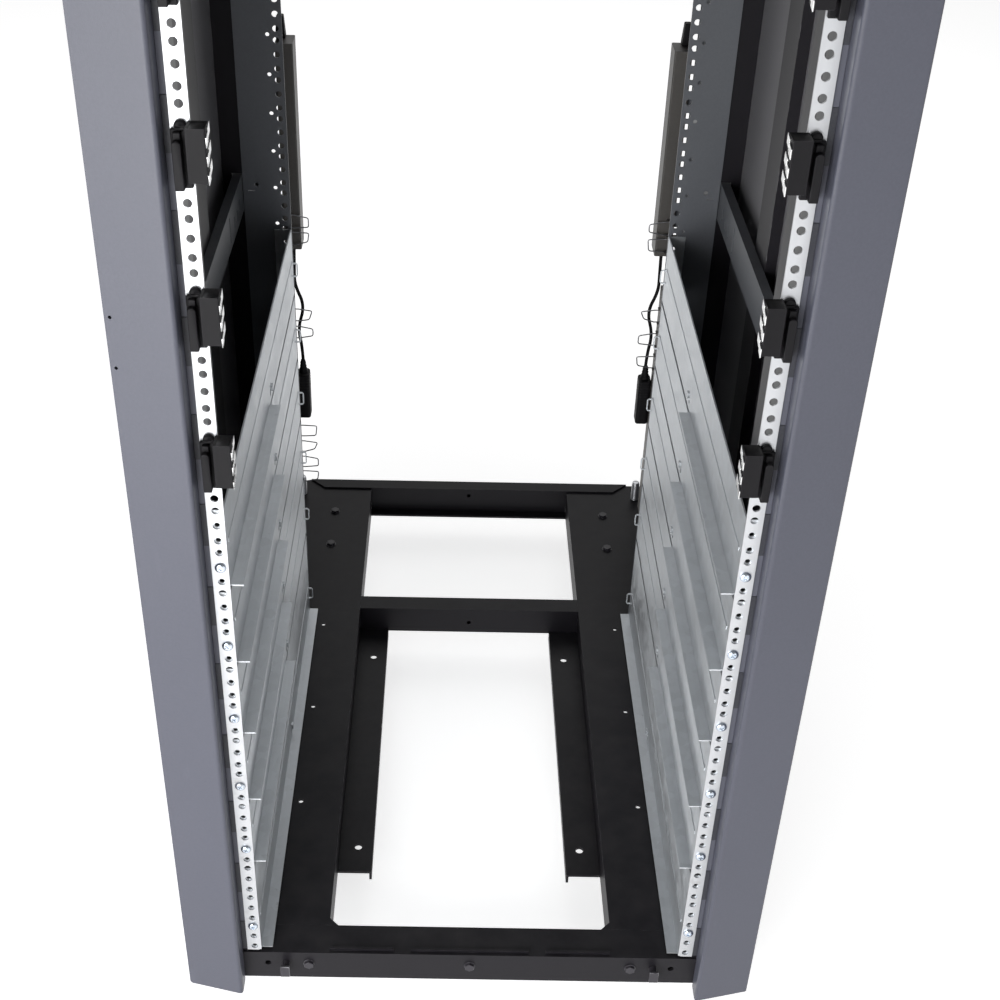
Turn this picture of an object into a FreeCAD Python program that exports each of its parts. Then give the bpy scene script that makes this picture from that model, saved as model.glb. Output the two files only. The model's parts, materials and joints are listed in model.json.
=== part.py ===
"""Open 19-inch network server rack cabinet on casters, with support rails and rear power strips.

Frame: +Z up, the floor at Z = 0, +X to the right seen from the front, +Y towards the rear.
The origin is the middle of the footprint. Inside this script depth is counted from the front
face of the front mounting rails, and save() moves every piece back by that face's offset.
"""
import FreeCAD
import Part
import math
import os

Vector = FreeCAD.Vector
os.makedirs("parts", exist_ok=True)

# ---- driving dimensions, mm ----
WIDTH = 611.0                    # over the front corner covers
HEIGHT = 1908.0                  # floor to roof
ORIGIN_Y = 459.0                 # middle of the footprint behind the rail face
DEPTH_REAR = 944.0               # rear edge of the base behind the rail face
UNIT = 44.45                     # one rack unit
UNITS = 40
HOLE_OFFSETS = (6.35, 22.225, 38.1)
RAIL_HOLE_X = 465.1 / 2
RAIL_HOLE_R = 3.55
BAY_HALF = 225.4                 # half the clear width between the rails
UNIT_1_Z = 87.0                  # bottom of the first rack unit above the floor
REAR_RAIL_Y = 605.0              # rear rail face behind the front rail face
SHEET = 2.0                      # posts, rails and covers

BASE_BOTTOM = 43.0
BASE_TOP = 83.0
BASE_HALF = 300.0                # outer faces of the base and the posts
BASE_SHEET = 3.0
SIDE_INNER_X = 155.0             # inner edge of each base side member
FRONT_BEAM_DEPTH = 38.7
REAR_BEAM_Y = 921.0
MID_BEAM_Y = (612.0, 640.0)
FLOOR_HOLE_X = 133.0             # floor anchor holes
FLOOR_HOLE_Y = (190.7, 549.5)
FLOOR_HOLE_R = 4.5
FACE_HOLE_Z = 66.0               # row of holes along the front of the base
FACE_BOLT_X = 175.0
HOOK_X = 200.0
BOLT_R = 3.9
BOLT_HOLE_R = 4.0

POST_INNER_X = 240.5
POST_OUTER_X = 298.0
POST_BACK_Y = 90.0
TOP_FRAME_Z = UNIT_1_Z + UNITS * UNIT
ROOF_Z = HEIGHT - 9.0            # top of the top frame
ROOF_SHEET = 2.0
ROOF_OPENING_X = 150.0           # half width of the cable opening
ROOF_OPENING_Y = (720.0, 840.0)
COVER_BOTTOM = 38.0
COVER_TOP = HEIGHT - 6.0
COVER_INNER = (246.0, -20.5)     # x, y of the cover's front inner edge
COVER_OUTER = (WIDTH / 2, -6.0)
COVER_BACK_Y = 30.0

REAR_POST_X = 288.0
REAR_POST_Y = 880.0
PANEL_HALF = WIDTH / 2 - 0.5     # outer face of each side panel
PANEL_SKIN = 1.2
STIFFENER_X = 292.0
STIFFENER_Y = (365.0, 425.0)
BRACE_X = (281.0, 291.5)
BRACE_Z = (680.0, 724.45)

SHELF_WEB_X = 225.8              # inner face of each support rail's web
SHELF_LIP_X = 214.0              # inner edge of its flange
SHELF_SHEET = 1.5
SHELF_FLANGE_END = 328.0
SHELF_LEVELS = (0, 3, 5, 7, 9, 11)   # flange heights in rack units
LOOP_X = 219.0                   # tie loop near the rear end of each support rail
LOOP_Y = (594.0, 596.0)
LOOP_Z = (25.0, 43.0)
LOOP_BAR = 1.4
SCREW_HOLE_R = 3.05              # holes in a support rail's end tabs
PILOT_HOLE_R = 2.3
CLIP_LEVELS = tuple(range(14, 39, 3))
CLIP_X = (212.0, 227.0)          # body of each filler-panel clip
CLIP_FRONT = -19.0
CLIP_Z = (-15.5, 26.5)           # body, from the bottom of its rack unit
CLIP_PLATE_X = 240.2
CLIP_PLATE_Z = (-25.0, 20.4)
CLIP_SPRING = 0.8
CARRIER_X = 280.0                # channels that carry the rear rails
CARRIER_Y = (607.0, 655.0)

CASTER_X = 243.0
CASTER_Y = (130.0, 812.0)
CASTER_BOLT_X = 35.0             # half spacings of the plate's bolts
CASTER_BOLT_Y = 44.0
PLATE_HALF = (46.0, 55.0)        # half sizes of the caster plate
PLATE_TOP = BASE_TOP - BASE_SHEET
PLATE_SHEET = 4.0
KINGPIN_R = 6.0
KINGPIN_BOTTOM = 57.0
CROWN_Z = (60.0, 69.7)           # bottom and top of the swivelling crown
CROWN_R = 20.0
CROWN_GAP = 0.3                  # between the crown and the fixed boss and head
FORK_GAP = 0.4                   # between the wheel and each fork leg
AXLE_R = 4.0
WHEEL_R = 28.0
WHEEL_WIDTH = 22.0
CASTER_TRAIL = 20.0
RUNNING = 0.06                   # radial clearance of a turning fit
FOOT_PLACES = ((270.0, 55.0), (262.0, 908.0))
FOOT_STEM_R = 6.0
FOOT_PAD_R = 22.0
FOOT_CLEARANCE = 8.0             # pad above the floor when the rack stands on its casters

STRIP_Y = (706.0, 742.0)
STRIP_WIDTH = 21.5
OUTLET = (14.0, 22.0)            # width and height of each outlet recess
UPPER_STRIP_X = 225.5
UPPER_STRIP_Z = (587.0, 847.0)
LOWER_STRIP_X = 243.0
LOWER_STRIP_Z = (180.0, 530.0)
BAIL_X = 241.0                   # hinge line of the wire bails
BAIL_Y = 702.0
BAIL_REACH = 26.0
BAIL_HEIGHT = 17.0
BAIL_WIRE_R = 0.8
BAIL_EAR = 1.5                   # thickness of each ear
EAR_GAP = 0.4                    # between a bail's wire and its ears
LEAD_R = 2.2
PLUG_TOP = 390.0                 # top of each inline plug

SIDES = (("left", -1), ("right", 1))
ENDS = ("front", "rear")


# ---- helpers ----
def unit_z(level):
    """Height of the bottom of a rack unit, counted from 0."""
    return UNIT_1_Z + level * UNIT


def box(x, y, z):
    """A block between two x, two y and two z values, in any order."""
    low = [min(pair) for pair in (x, y, z)]
    high = [max(pair) for pair in (x, y, z)]
    size = [b - a for a, b in zip(low, high)]
    return Part.makeBox(size[0], size[1], size[2], Vector(*low))


def rod(centre, direction, length, radius):
    """A cylinder from a centre point along a direction."""
    return Part.makeCylinder(radius, length, Vector(*centre), Vector(*direction))


def prism(outline, z0, z1):
    """A closed outline of x, y points drawn upwards from z0 to z1."""
    points = [Vector(x, y, z0) for x, y in outline]
    face = Part.Face(Part.makePolygon(points + points[:1]))
    return face.extrude(Vector(0, 0, z1 - z0))


def mirrored(outline, side):
    """An x, y outline moved to the left (-1) or right (1) side."""
    return [(side * x, y) for x, y in outline]


def fuse(shapes):
    """One solid from touching pieces."""
    return shapes[0].multiFuse(shapes[1:]).removeSplitter()


def cut(shape, tools):
    """A shape less all the tools at once."""
    return shape.cut(Part.makeCompound(tools)) if tools else shape


def solids(shape):
    """The list of solids in a shape."""
    return list(shape.Solids)


def save(node, pieces):
    """Write one node; its pieces stay separate solids."""
    found = [solid for piece in pieces for solid in solids(piece)]
    shape = found[0].copy() if len(found) == 1 else Part.makeCompound(found)
    shape.translate(Vector(0, -ORIGIN_Y, 0))
    shape.exportStep("parts/" + node + ".step")
    print(node, len(found), shape.isValid(), shape.BoundBox)


# ---- base frame ----
def base_front_beam():
    """Front channel with a raised, notched lip and a row of holes in its face."""
    x = (-BASE_HALF, BASE_HALF)
    lip_half = 152.0
    lip_height = 3.0
    notches = ((-82.6, -63.9), (63.9, 82.6))
    face_holes = {219.5: 3.5, HOOK_X: BOLT_HOLE_R, FACE_BOLT_X: BOLT_HOLE_R, 0.0: BOLT_HOLE_R}
    face = box(x, (0, BASE_SHEET), (BASE_BOTTOM, BASE_TOP))
    top = box(x, (0, FRONT_BEAM_DEPTH), (BASE_TOP - BASE_SHEET, BASE_TOP))
    foot = box(x, (0, 30.0), (BASE_BOTTOM, BASE_BOTTOM + BASE_SHEET))
    lip = box((-lip_half, lip_half), (4.0, 4.0 + BASE_SHEET), (BASE_TOP, BASE_TOP + lip_height))
    beam = fuse([face, top, foot, lip])
    tools = [box(pair, (3.9, 7.1), (BASE_TOP, BASE_TOP + lip_height)) for pair in notches]
    for x_hole, radius in face_holes.items():
        for side in ({-1, 1} if x_hole else {1}):
            tools.append(rod((side * x_hole, -1, FACE_HOLE_Z), (0, 1, 0), BASE_SHEET + 2, radius))
    save("base_front_beam", [cut(beam, tools)])


def base_rear_beam():
    """Rear channel with a mitred cap strip along its top."""
    x = (-BASE_HALF, BASE_HALF)
    rear = (DEPTH_REAR - BASE_SHEET, DEPTH_REAR)
    web = box(x, rear, (BASE_BOTTOM, BASE_TOP))
    top = box(x, (REAR_BEAM_Y, DEPTH_REAR), (BASE_TOP - BASE_SHEET, BASE_TOP))
    inner = box((-SIDE_INNER_X, SIDE_INNER_X), (REAR_BEAM_Y, REAR_BEAM_Y + BASE_SHEET),
                (BASE_BOTTOM, BASE_TOP))
    floor = box((-SIDE_INNER_X, SIDE_INNER_X), (905.0, DEPTH_REAR),
                (BASE_BOTTOM, BASE_BOTTOM + BASE_SHEET))
    cap = prism([(-252.0, DEPTH_REAR), (252.0, DEPTH_REAR), (229.0, REAR_BEAM_Y),
                 (-229.0, REAR_BEAM_Y)], BASE_TOP, BASE_TOP + BASE_SHEET)
    hole = rod((0, REAR_BEAM_Y - 1, BASE_TOP - 9), (0, 1, 0), BASE_SHEET + 2, 3.0)
    save("base_rear_beam", [cut(fuse([web, top, inner, floor, cap]), [hole])])


def base_mid_beam():
    """Box crossmember between the two base side members."""
    x = (-SIDE_INNER_X, SIDE_INNER_X)
    front, rear = MID_BEAM_Y
    outer = box(x, (front, rear), (BASE_BOTTOM, BASE_TOP))
    hollow = box(x, (front + BASE_SHEET, rear - BASE_SHEET),
                 (BASE_BOTTOM + BASE_SHEET, BASE_TOP - BASE_SHEET))
    hole = rod((0, front - 1, 60.0), (0, 1, 0), BASE_SHEET + 2, 3.0)
    save("base_mid_beam", [outer.cut(hollow).cut(hole)])


def base_side(name, side):
    """Wide side member: a pan, open below, that carries the casters and levelling feet."""
    y = (FRONT_BEAM_DEPTH, REAR_BEAM_Y)
    bush_r = 12.0
    bush_length = 22.0
    top = box((side * SIDE_INNER_X, side * BASE_HALF), y, (BASE_TOP - BASE_SHEET, BASE_TOP))
    inner = box((side * SIDE_INNER_X, side * (SIDE_INNER_X + BASE_SHEET)), y, (BASE_BOTTOM, BASE_TOP))
    outer = box((side * (BASE_HALF - BASE_SHEET), side * BASE_HALF), y, (BASE_BOTTOM, BASE_TOP))
    pieces = [top, inner, outer]
    tools = []
    for x_foot, y_foot in FOOT_PLACES:
        start = (side * x_foot, y_foot, BASE_TOP - bush_length)
        pieces.append(rod(start, (0, 0, 1), bush_length, bush_r))
        tools.append(rod(start, (0, 0, 1), bush_length, FOOT_STEM_R + RUNNING))
    for y_hole in (229.0, 401.5, 574.0):
        tools.append(rod((side * 204.0, y_hole, BASE_TOP - 4), (0, 0, 1), 5, 3.0))
    for x_bolt, y_bolt in caster_bolt_places(side, "rear"):
        tools.append(rod((x_bolt, y_bolt, BASE_TOP - 4), (0, 0, 1), 5, BOLT_HOLE_R))
    corner = [(SIDE_INNER_X, FRONT_BEAM_DEPTH), (SIDE_INNER_X, FRONT_BEAM_DEPTH + 10),
              (SIDE_INNER_X - 10, FRONT_BEAM_DEPTH)]
    pieces.append(prism(mirrored(corner, side), BASE_TOP - BASE_SHEET, BASE_TOP))
    save("base_side_" + name, [cut(fuse(pieces), tools)])


def base_floor_brackets():
    """Two flat bolt-down brackets under the front opening, each with a down-turned edge."""
    inner_x = 115.0
    front = 151.0
    pieces = []
    for _, side in SIDES:
        y = (front, MID_BEAM_Y[0])
        plate = box((side * inner_x, side * SIDE_INNER_X), y, (BASE_BOTTOM, BASE_BOTTOM + BASE_SHEET))
        edge = box((side * inner_x, side * (inner_x + BASE_SHEET)), y, (33.0, BASE_BOTTOM))
        holes = []
        for y_hole in FLOOR_HOLE_Y:
            place = (side * FLOOR_HOLE_X, y_hole, BASE_BOTTOM - 1)
            holes.append(rod(place, (0, 0, 1), BASE_SHEET + 2, FLOOR_HOLE_R))
        pieces.append(cut(fuse([plate, edge]), holes))
    save("base_floor_brackets", pieces)


def hex_bolt(centre, direction, head_r, head, shank_r, shank):
    """A hexagon head with its shank behind it; direction points from the head into the work."""
    axis = Vector(*direction)
    ring = [Vector(head_r * math.cos(math.radians(60 * i)), head_r * math.sin(math.radians(60 * i)), 0)
            for i in range(6)]
    blank = Part.Face(Part.makePolygon(ring + ring[:1])).extrude(Vector(0, 0, head))
    turn = FreeCAD.Rotation(Vector(0, 0, 1), axis)
    blank.Placement = FreeCAD.Placement(Vector(*centre) - axis * head, turn)
    return blank.fuse(rod(centre, direction, shank, shank_r)).removeSplitter()


def base_fasteners():
    """Three bolts and two keeper hooks on the front of the base."""
    pieces = []
    for x_bolt in (-FACE_BOLT_X, 0.0, FACE_BOLT_X):
        pieces.append(hex_bolt((x_bolt, 0, FACE_HOLE_Z), (0, 1, 0), 5.5, 3.5, BOLT_R, 12.0))
    for _, side in SIDES:
        pin = rod((side * HOOK_X, -9.0, FACE_HOLE_Z), (0, 1, 0), 20.0, BOLT_R)
        head = box((side * (HOOK_X - 5), side * (HOOK_X + 5)), (-12.0, -9.0),
                   (FACE_HOLE_Z - 9, FACE_HOLE_Z + 7))
        pieces.append(fuse([pin, head]))
    save("base_fasteners", pieces)


# ---- posts, covers and panels ----
def front_post(name, side):
    """Folded front corner post, open at the back between two returns."""
    ret = 15.0
    x0, x1, y0, y1 = POST_INNER_X, POST_OUTER_X, 2.0, POST_BACK_Y
    outline = [(x0, y0), (x1, y0), (x1, y1), (x1 - ret, y1), (x1 - ret, y1 - SHEET),
               (x1 - SHEET, y1 - SHEET), (x1 - SHEET, y0 + SHEET), (x0 + SHEET, y0 + SHEET),
               (x0 + SHEET, y1 - SHEET), (x0 + ret, y1 - SHEET), (x0 + ret, y1), (x0, y1)]
    save("front_post_" + name, [prism(mirrored(outline, side), BASE_TOP, TOP_FRAME_Z)])


def front_cover(name, side):
    """Wide corner cover: an angled face with a return along each edge and a rounded inner fold."""
    (xi, yi), (xo, yo) = COVER_INNER, COVER_OUTER
    fold = 2.5
    slope = math.atan2(yo - yi, xo - xi)
    dx, dy = math.cos(slope), math.sin(slope)
    inset = SHEET / dx
    outline = [(xi, SHEET), (xi, yi + fold), (xi + fold * dx, yi + fold * dy), (xo, yo),
               (xo, COVER_BACK_Y), (xo - SHEET, COVER_BACK_Y), (xo - SHEET, yo + inset),
               (xi + SHEET + 1.0, yi + fold + inset), (xi + SHEET, SHEET)]
    cover = prism(mirrored(outline, side), COVER_BOTTOM, COVER_TOP)
    tools = [box((side * (xi - 1), side * (xi + SHEET + 1)), (0, SHEET + 1), (COVER_BOTTOM - 1, BASE_TOP))]
    if name == "left":
        tools += [rod((side * (xo - 5), yo - 10, z), (0, 1, 0), 20, 1.5) for z in (800.0, 845.0)]
    save("front_cover_" + name, [cut(cover, tools)])


def unit_strips():
    """Thin marker strips beside the front rails, raised over every second rack unit."""
    x0, x1 = POST_INNER_X + 0.2, COVER_INNER[0] - 0.2
    pieces = []
    for _, side in SIDES:
        parts = [box((side * x0, side * x1), (1.6, 2.0), (UNIT_1_Z, TOP_FRAME_Z))]
        for level in range(0, UNITS, 2):
            raised_z = (unit_z(level) + 0.5, unit_z(level + 1) - 0.5)
            parts.append(box((side * x0, side * x1), (1.0, 1.6), raised_z))
        pieces.append(fuse(parts))
    save("unit_strips", pieces)


def side_panel(name, side):
    """Outer side skin with folded edges."""
    hem = PANEL_HALF - BASE_HALF
    skin = PANEL_SKIN
    y0, y1 = COVER_BACK_Y + 1.5, DEPTH_REAR - 1.0
    z0, z1 = BASE_BOTTOM, COVER_TOP
    outer = box((side * (PANEL_HALF - hem), side * PANEL_HALF), (y0, y1), (z0, z1))
    inside = box((side * (PANEL_HALF - hem), side * (PANEL_HALF - skin)), (y0 + skin, y1 - skin),
                 (z0 + skin, z1 - skin))
    save("side_panel_" + name, [outer.cut(inside)])


def rear_posts():
    """Folded rear corner posts."""
    pieces = []
    x0, x1, y0, y1 = REAR_POST_X, BASE_HALF, REAR_POST_Y, DEPTH_REAR
    outline = [(x0, y0), (x1, y0), (x1, y1), (x0, y1), (x0, y1 - SHEET), (x1 - SHEET, y1 - SHEET),
               (x1 - SHEET, y0 + SHEET), (x0, y0 + SHEET)]
    for _, side in SIDES:
        pieces.append(prism(mirrored(outline, side), BASE_TOP, TOP_FRAME_Z))
    save("rear_posts", pieces)


def side_stiffeners():
    """Upright hat channels halfway along the side panels, and channels that carry the rear rails."""
    sheet = 1.5
    x0, x1 = STIFFENER_X, PANEL_HALF - PANEL_SKIN
    y0, y1 = STIFFENER_Y
    outline = [(x0, y0), (x1, y0), (x1, y0 + sheet), (x0 + sheet, y0 + sheet),
               (x0 + sheet, y1 - sheet), (x1, y1 - sheet), (x1, y1), (x0, y1)]
    pieces = [prism(mirrored(outline, side), BASE_TOP, TOP_FRAME_Z) for _, side in SIDES]
    x0, (y0, y1) = CARRIER_X, CARRIER_Y
    outline = [(x0, y0), (x1, y0), (x1, y1), (x1 - sheet, y1), (x1 - sheet, y0 + sheet),
               (x0 + sheet, y0 + sheet), (x0 + sheet, y1), (x0, y1)]
    for _, side in SIDES:
        carrier = prism(mirrored(outline, side), BASE_TOP, TOP_FRAME_Z)
        notch_x = (side * (x0 - 1), side * (BRACE_X[1] + 1))
        notch = box(notch_x, (y0 - 1, y1 + 1), (BRACE_Z[0] - 1, BRACE_Z[1] + 1))
        pieces.append(carrier.cut(notch))
    save("side_stiffeners", pieces)


def side_braces():
    """Level channels that tie the front posts to the rear posts, with slots in the web."""
    x0, x1 = BRACE_X
    z0, z1 = BRACE_Z
    y = (POST_BACK_Y, REAR_POST_Y)
    pieces = []
    for _, side in SIDES:
        web = box((side * x0, side * (x0 + SHEET)), y, (z0, z1))
        flanges = [box((side * x0, side * x1), y, pair) for pair in ((z0, z0 + SHEET), (z1 - SHEET, z1))]
        tools = [box((side * (x0 - 1), side * (x0 + 3)), (y_slot, y_slot + 4), (z_slot, z_slot + 14))
                 for y_slot, z_slot in ((574.0, 692.0), (551.0, 688.0), (528.0, 690.0))]
        tools.append(box((side * (x0 - 1), side * (x0 + 3)), (492.0, 497.0), (687.0, 717.0)))
        pieces.append(cut(fuse([web] + flanges), tools))
    save("side_braces", pieces)


def top_frame():
    """Four beams that close the top of the posts."""
    z = (TOP_FRAME_Z, ROOF_Z)
    pieces = []
    front_y1 = 42.0
    rear_y0 = REAR_POST_Y + 24.0
    for y0, y1 in ((SHEET, front_y1), (rear_y0, DEPTH_REAR)):
        outer = box((-BASE_HALF, BASE_HALF), (y0, y1), z)
        hollow = box((-BASE_HALF, BASE_HALF), (y0 + SHEET, y1 - SHEET), (z[0] + SHEET, z[1] - SHEET))
        pieces.append(outer.cut(hollow))
    for _, side in SIDES:
        y = (front_y1, rear_y0)
        outer = box((side * POST_INNER_X, side * BASE_HALF), y, z)
        hollow = box((side * (POST_INNER_X + SHEET), side * (BASE_HALF - SHEET)), y,
                     (z[0] + SHEET, z[1] - SHEET))
        pieces.append(outer.cut(hollow))
    save("top_frame", pieces)


def roof_panel():
    """Roof sheet with a turned-down edge and a cable opening near the rear."""
    z0, z1 = ROOF_Z, HEIGHT
    half = BASE_HALF - 0.5
    y = (3.0, DEPTH_REAR - 1.0)
    outer = box((-half, half), y, (z0, z1))
    inside = box((-half + ROOF_SHEET, half - ROOF_SHEET), (y[0] + ROOF_SHEET, y[1] - ROOF_SHEET),
                 (z0, z1 - ROOF_SHEET))
    opening = box((-ROOF_OPENING_X, ROOF_OPENING_X), ROOF_OPENING_Y, (z0, z1))
    save("roof_panel", [outer.cut(inside).cut(opening)])


# ---- mounting rails ----
def rail_holes(x, y, radius, length, levels):
    """Universal-spacing holes through a rail face."""
    return [rod((x, y - 1, unit_z(level) + offset), (0, 1, 0), length, radius)
            for level in levels for offset in HOLE_OFFSETS]


def front_rail(name, side):
    """L-shaped front mounting rail with a rounded lower corner."""
    x1 = POST_INNER_X
    face = box((side * BAY_HALF, side * x1), (0, SHEET), (UNIT_1_Z, TOP_FRAME_Z))
    back = box((side * (x1 - SHEET), side * x1), (0, 34.0), (UNIT_1_Z, TOP_FRAME_Z))
    rail = fuse([face, back])
    corner = [edge for edge in rail.Edges if abs(edge.CenterOfMass.z - UNIT_1_Z) < 0.01
              and abs(edge.CenterOfMass.x - side * BAY_HALF) < 0.01]
    rail = rail.makeFillet(4.0, corner)
    holes = rail_holes(side * RAIL_HOLE_X, 0, RAIL_HOLE_R, SHEET + 2, range(UNITS))
    save("front_rail_" + name, [cut(rail, holes)])


def rear_rail(name, side):
    """Wide rear mounting post: a holed face with a return along its outer edge."""
    outer_x = 280.0
    z = (BASE_TOP, TOP_FRAME_Z)
    y0 = REAR_RAIL_Y
    face = box((side * BAY_HALF, side * outer_x), (y0, y0 + SHEET), z)
    back = box((side * (outer_x - SHEET), side * outer_x), (y0, y0 + 55.0), z)
    tools = rail_holes(side * RAIL_HOLE_X, y0, RAIL_HOLE_R, SHEET + 2, range(UNITS))
    for level in range(1, UNITS):
        tools.append(rod((side * 242.0, y0 - 1, unit_z(level)), (0, 1, 0), SHEET + 2, 2.3))
    tools.append(rod((side * 263.8, y0 - 1, 713.0), (0, 1, 0), SHEET + 2, 2.6))
    tools.append(box((side * 266.0, side * 274.0), (y0 - 1, y0 + 3), (704.5, 706.0)))
    save("rear_rail_" + name, [cut(fuse([face, back]), tools)])


def support_rail(side, level):
    """One equipment support rail: web, flange, end tabs, a stiffening rib, a keyhole tab and a tie loop."""
    height = 125.0 if level == 0 else 82.0
    flange_end = REAR_RAIL_Y - 1.0 if level == 0 else SHELF_FLANGE_END
    z0 = unit_z(level)
    z1 = z0 + height
    y0, y1 = SHEET, REAR_RAIL_Y
    web_x = (side * SHELF_WEB_X, side * (SHELF_WEB_X + SHELF_SHEET))
    web = box(web_x, (y0, y1), (z0 - SHELF_SHEET, z1))
    flange = box((side * SHELF_LIP_X, side * SHELF_WEB_X), (5.0, flange_end), (z0 - SHELF_SHEET, z0))
    tab_x = (side * SHELF_WEB_X, side * (POST_INNER_X - SHEET - 0.4))
    front_tab = box(tab_x, (y0, y0 + SHELF_SHEET), (z0 + 1.0, z1))
    rear_tab = box((side * SHELF_WEB_X, side * 246.0), (y1 - SHELF_SHEET, y1), (z0 + 1.0, z1))
    rib = box((side * (SHELF_WEB_X - 0.8), side * SHELF_WEB_X), (12.0, y1 - 12.0), (z0 + 42.0, z0 + 46.0))
    hook = box((side * (SHELF_WEB_X - 2.0), side * SHELF_WEB_X), (343.0, 349.0), (z0 + 7.0, z0 + 15.0))
    loop = box((side * LOOP_X, side * SHELF_WEB_X), LOOP_Y, (z0 + LOOP_Z[0], z0 + LOOP_Z[1]))
    bends = [edge for edge in loop.Edges if edge.BoundBox.XLength < 0.1 and edge.BoundBox.ZLength < 0.1
             and abs(abs(edge.CenterOfMass.x) - LOOP_X) < 0.1]
    loop = loop.makeFillet(3.5, bends)
    window = box((side * (LOOP_X + LOOP_BAR), side * SHELF_WEB_X), (LOOP_Y[0] - 1, LOOP_Y[1] + 1),
                 (z0 + LOOP_Z[0] + LOOP_BAR, z0 + LOOP_Z[1] - LOOP_BAR))
    rail = fuse([web, flange, front_tab, rear_tab, rib, hook, loop.cut(window)])
    keyhole = rod((side * (SHELF_WEB_X - 3), 341.0, z0 + 8.0), (side, 0, 0), 6, 4.0)
    rows = range(level, level + (3 if level == 0 else 2))
    offsets = [unit_z(row) + offset for row in rows for offset in HOLE_OFFSETS]
    inside = [z for z in offsets if z < z1 - 4.0]
    tools = [keyhole]
    for end, y_hole in (("front", y0 - 1), ("rear", y1 - SHELF_SHEET - 1)):
        for z in inside:
            radius = SCREW_HOLE_R if abs(z - screw_height(level, end)) < 1 else PILOT_HOLE_R
            tools.append(rod((side * RAIL_HOLE_X, y_hole, z), (0, 1, 0), SHELF_SHEET + 2, radius))
    return cut(rail, tools)


def screw_height(level, end):
    """Height of the screw that holds a support rail at one end."""
    if end == "front" and level == 0:
        return unit_z(0) + HOLE_OFFSETS[2]
    return unit_z(level) + HOLE_OFFSETS[1 if end == "front" else 2]


def support_rails(name, side):
    """The column of support rails on one side."""
    save("support_rails_" + name, [support_rail(side, level) for level in SHELF_LEVELS])


def rail_screws():
    """Pan-head screws that hold the support rails to the front and rear mounting rails."""
    head_r, head = 5.5, 2.8
    rear_head_r = 5.2
    shank_r = 3.0
    pieces = []
    for _, side in SIDES:
        for level in SHELF_LEVELS:
            front = (side * RAIL_HOLE_X, -head, screw_height(level, "front"))
            shank = rod((front[0], 0, front[2]), (0, 1, 0), 9.0, shank_r)
            pan = rod(front, (0, 1, 0), head, head_r)
            rim = [edge for edge in pan.Edges if abs(edge.CenterOfMass.y + head) < 0.01]
            pan = pan.makeFillet(1.2, rim)
            pieces.append(fuse([pan, shank]))
            y_rear = REAR_RAIL_Y - SHELF_SHEET
            rear = (side * RAIL_HOLE_X, y_rear - head, screw_height(level, "rear"))
            shank = rod((rear[0], y_rear, rear[2]), (0, 1, 0), 10.0, shank_r)
            pieces.append(fuse([rod(rear, (0, 1, 0), head, rear_head_r), shank]))
    save("rail_screws", pieces)


# ---- filler panel clips ----
def clip_rib(side, z):
    """Thumb rib of one clip, with a rounded top and a neck above it."""
    x = (side * 231.4, side * 238.6)
    rib = box(x, (-13.0, -4.0), (z - 24.0, z + 14.0))
    crest = [edge for edge in rib.Edges if edge.BoundBox.XLength < 0.1 and edge.BoundBox.ZLength < 0.1
             and edge.CenterOfMass.z > z]
    rib = rib.makeFillet(3.0, crest)
    neck = box((side * 232.0, side * 238.0), (-8.0, -4.0), (z + 8.0, z + 19.0))
    return [rib, neck]


def panel_clips():
    """Moulded snap-on clips for filler panels, one every three units, pegged into the front rails."""
    pieces = []
    for _, side in SIDES:
        for level in CLIP_LEVELS:
            z = unit_z(level)
            z_knob = z + HOLE_OFFSETS[1]
            body_z = (z + CLIP_Z[0], z + CLIP_Z[1])
            body = box((side * CLIP_X[0], side * CLIP_X[1]), (CLIP_FRONT, -1.0), body_z)
            plate = box((side * (CLIP_X[1] - 1), side * CLIP_PLATE_X), (-4.0, 0),
                        (z + CLIP_PLATE_Z[0], z + CLIP_PLATE_Z[1]))
            knob = rod((side * RAIL_HOLE_X, -4.0, z_knob), (0, 1, 0), 4.0, 4.7)
            peg = rod((side * RAIL_HOLE_X, 0, z_knob), (0, 1, 0), 6.0, 3.3)
            pieces.append(fuse([body, plate, knob, peg] + clip_rib(side, z)))
    save("panel_clips", pieces)


def clip_springs():
    """Bright spring plates on the inner faces of the clips, cut away in steps."""
    windows = ((-17.0, -10.5, -12.0, -5.0), (-9.0, -3.0, -5.0, 3.0), (-17.0, -10.5, 5.0, 12.0),
               (-9.0, -3.0, 13.0, 21.0))
    x = (CLIP_X[0] - CLIP_SPRING, CLIP_X[0])
    pieces = []
    for _, side in SIDES:
        for level in CLIP_LEVELS:
            z = unit_z(level)
            plate = box((side * x[0], side * x[1]), (CLIP_FRONT, -1.0), (z + CLIP_Z[0], z + CLIP_Z[1]))
            tools = [box((side * (x[0] - 1), side * (x[1] + 1)), (y0, y1), (z + z0, z + z1))
                     for y0, y1, z0, z1 in windows]
            pieces.append(cut(plate, tools))
    save("clip_springs", pieces)


# ---- power strips ----
def bail_list(side):
    """Lower ends of the wire bails on one side, as heights above the floor."""
    upper = [595.0, 618.0]
    if side < 0:
        return [238.0, 262.0, 287.0, 312.0, 463.0, 488.0] + upper
    return [428.0, 462.0, 496.0] + upper


def ears(side, z):
    """Two holed ears that carry one bail."""
    wire = BAIL_WIRE_R
    pieces = []
    for z_ear in (z - wire - EAR_GAP - BAIL_EAR, z + BAIL_HEIGHT + wire + EAR_GAP):
        ear = box((side * (BAIL_X - 4), side * (BAIL_X + 12)), (BAIL_Y - 3, STRIP_Y[0]),
                  (z_ear, z_ear + BAIL_EAR))
        hole = rod((side * BAIL_X, BAIL_Y, z_ear - 1), (0, 0, 1), BAIL_EAR + 2, wire + RUNNING)
        pieces.append(ear.cut(hole))
    return pieces


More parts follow.
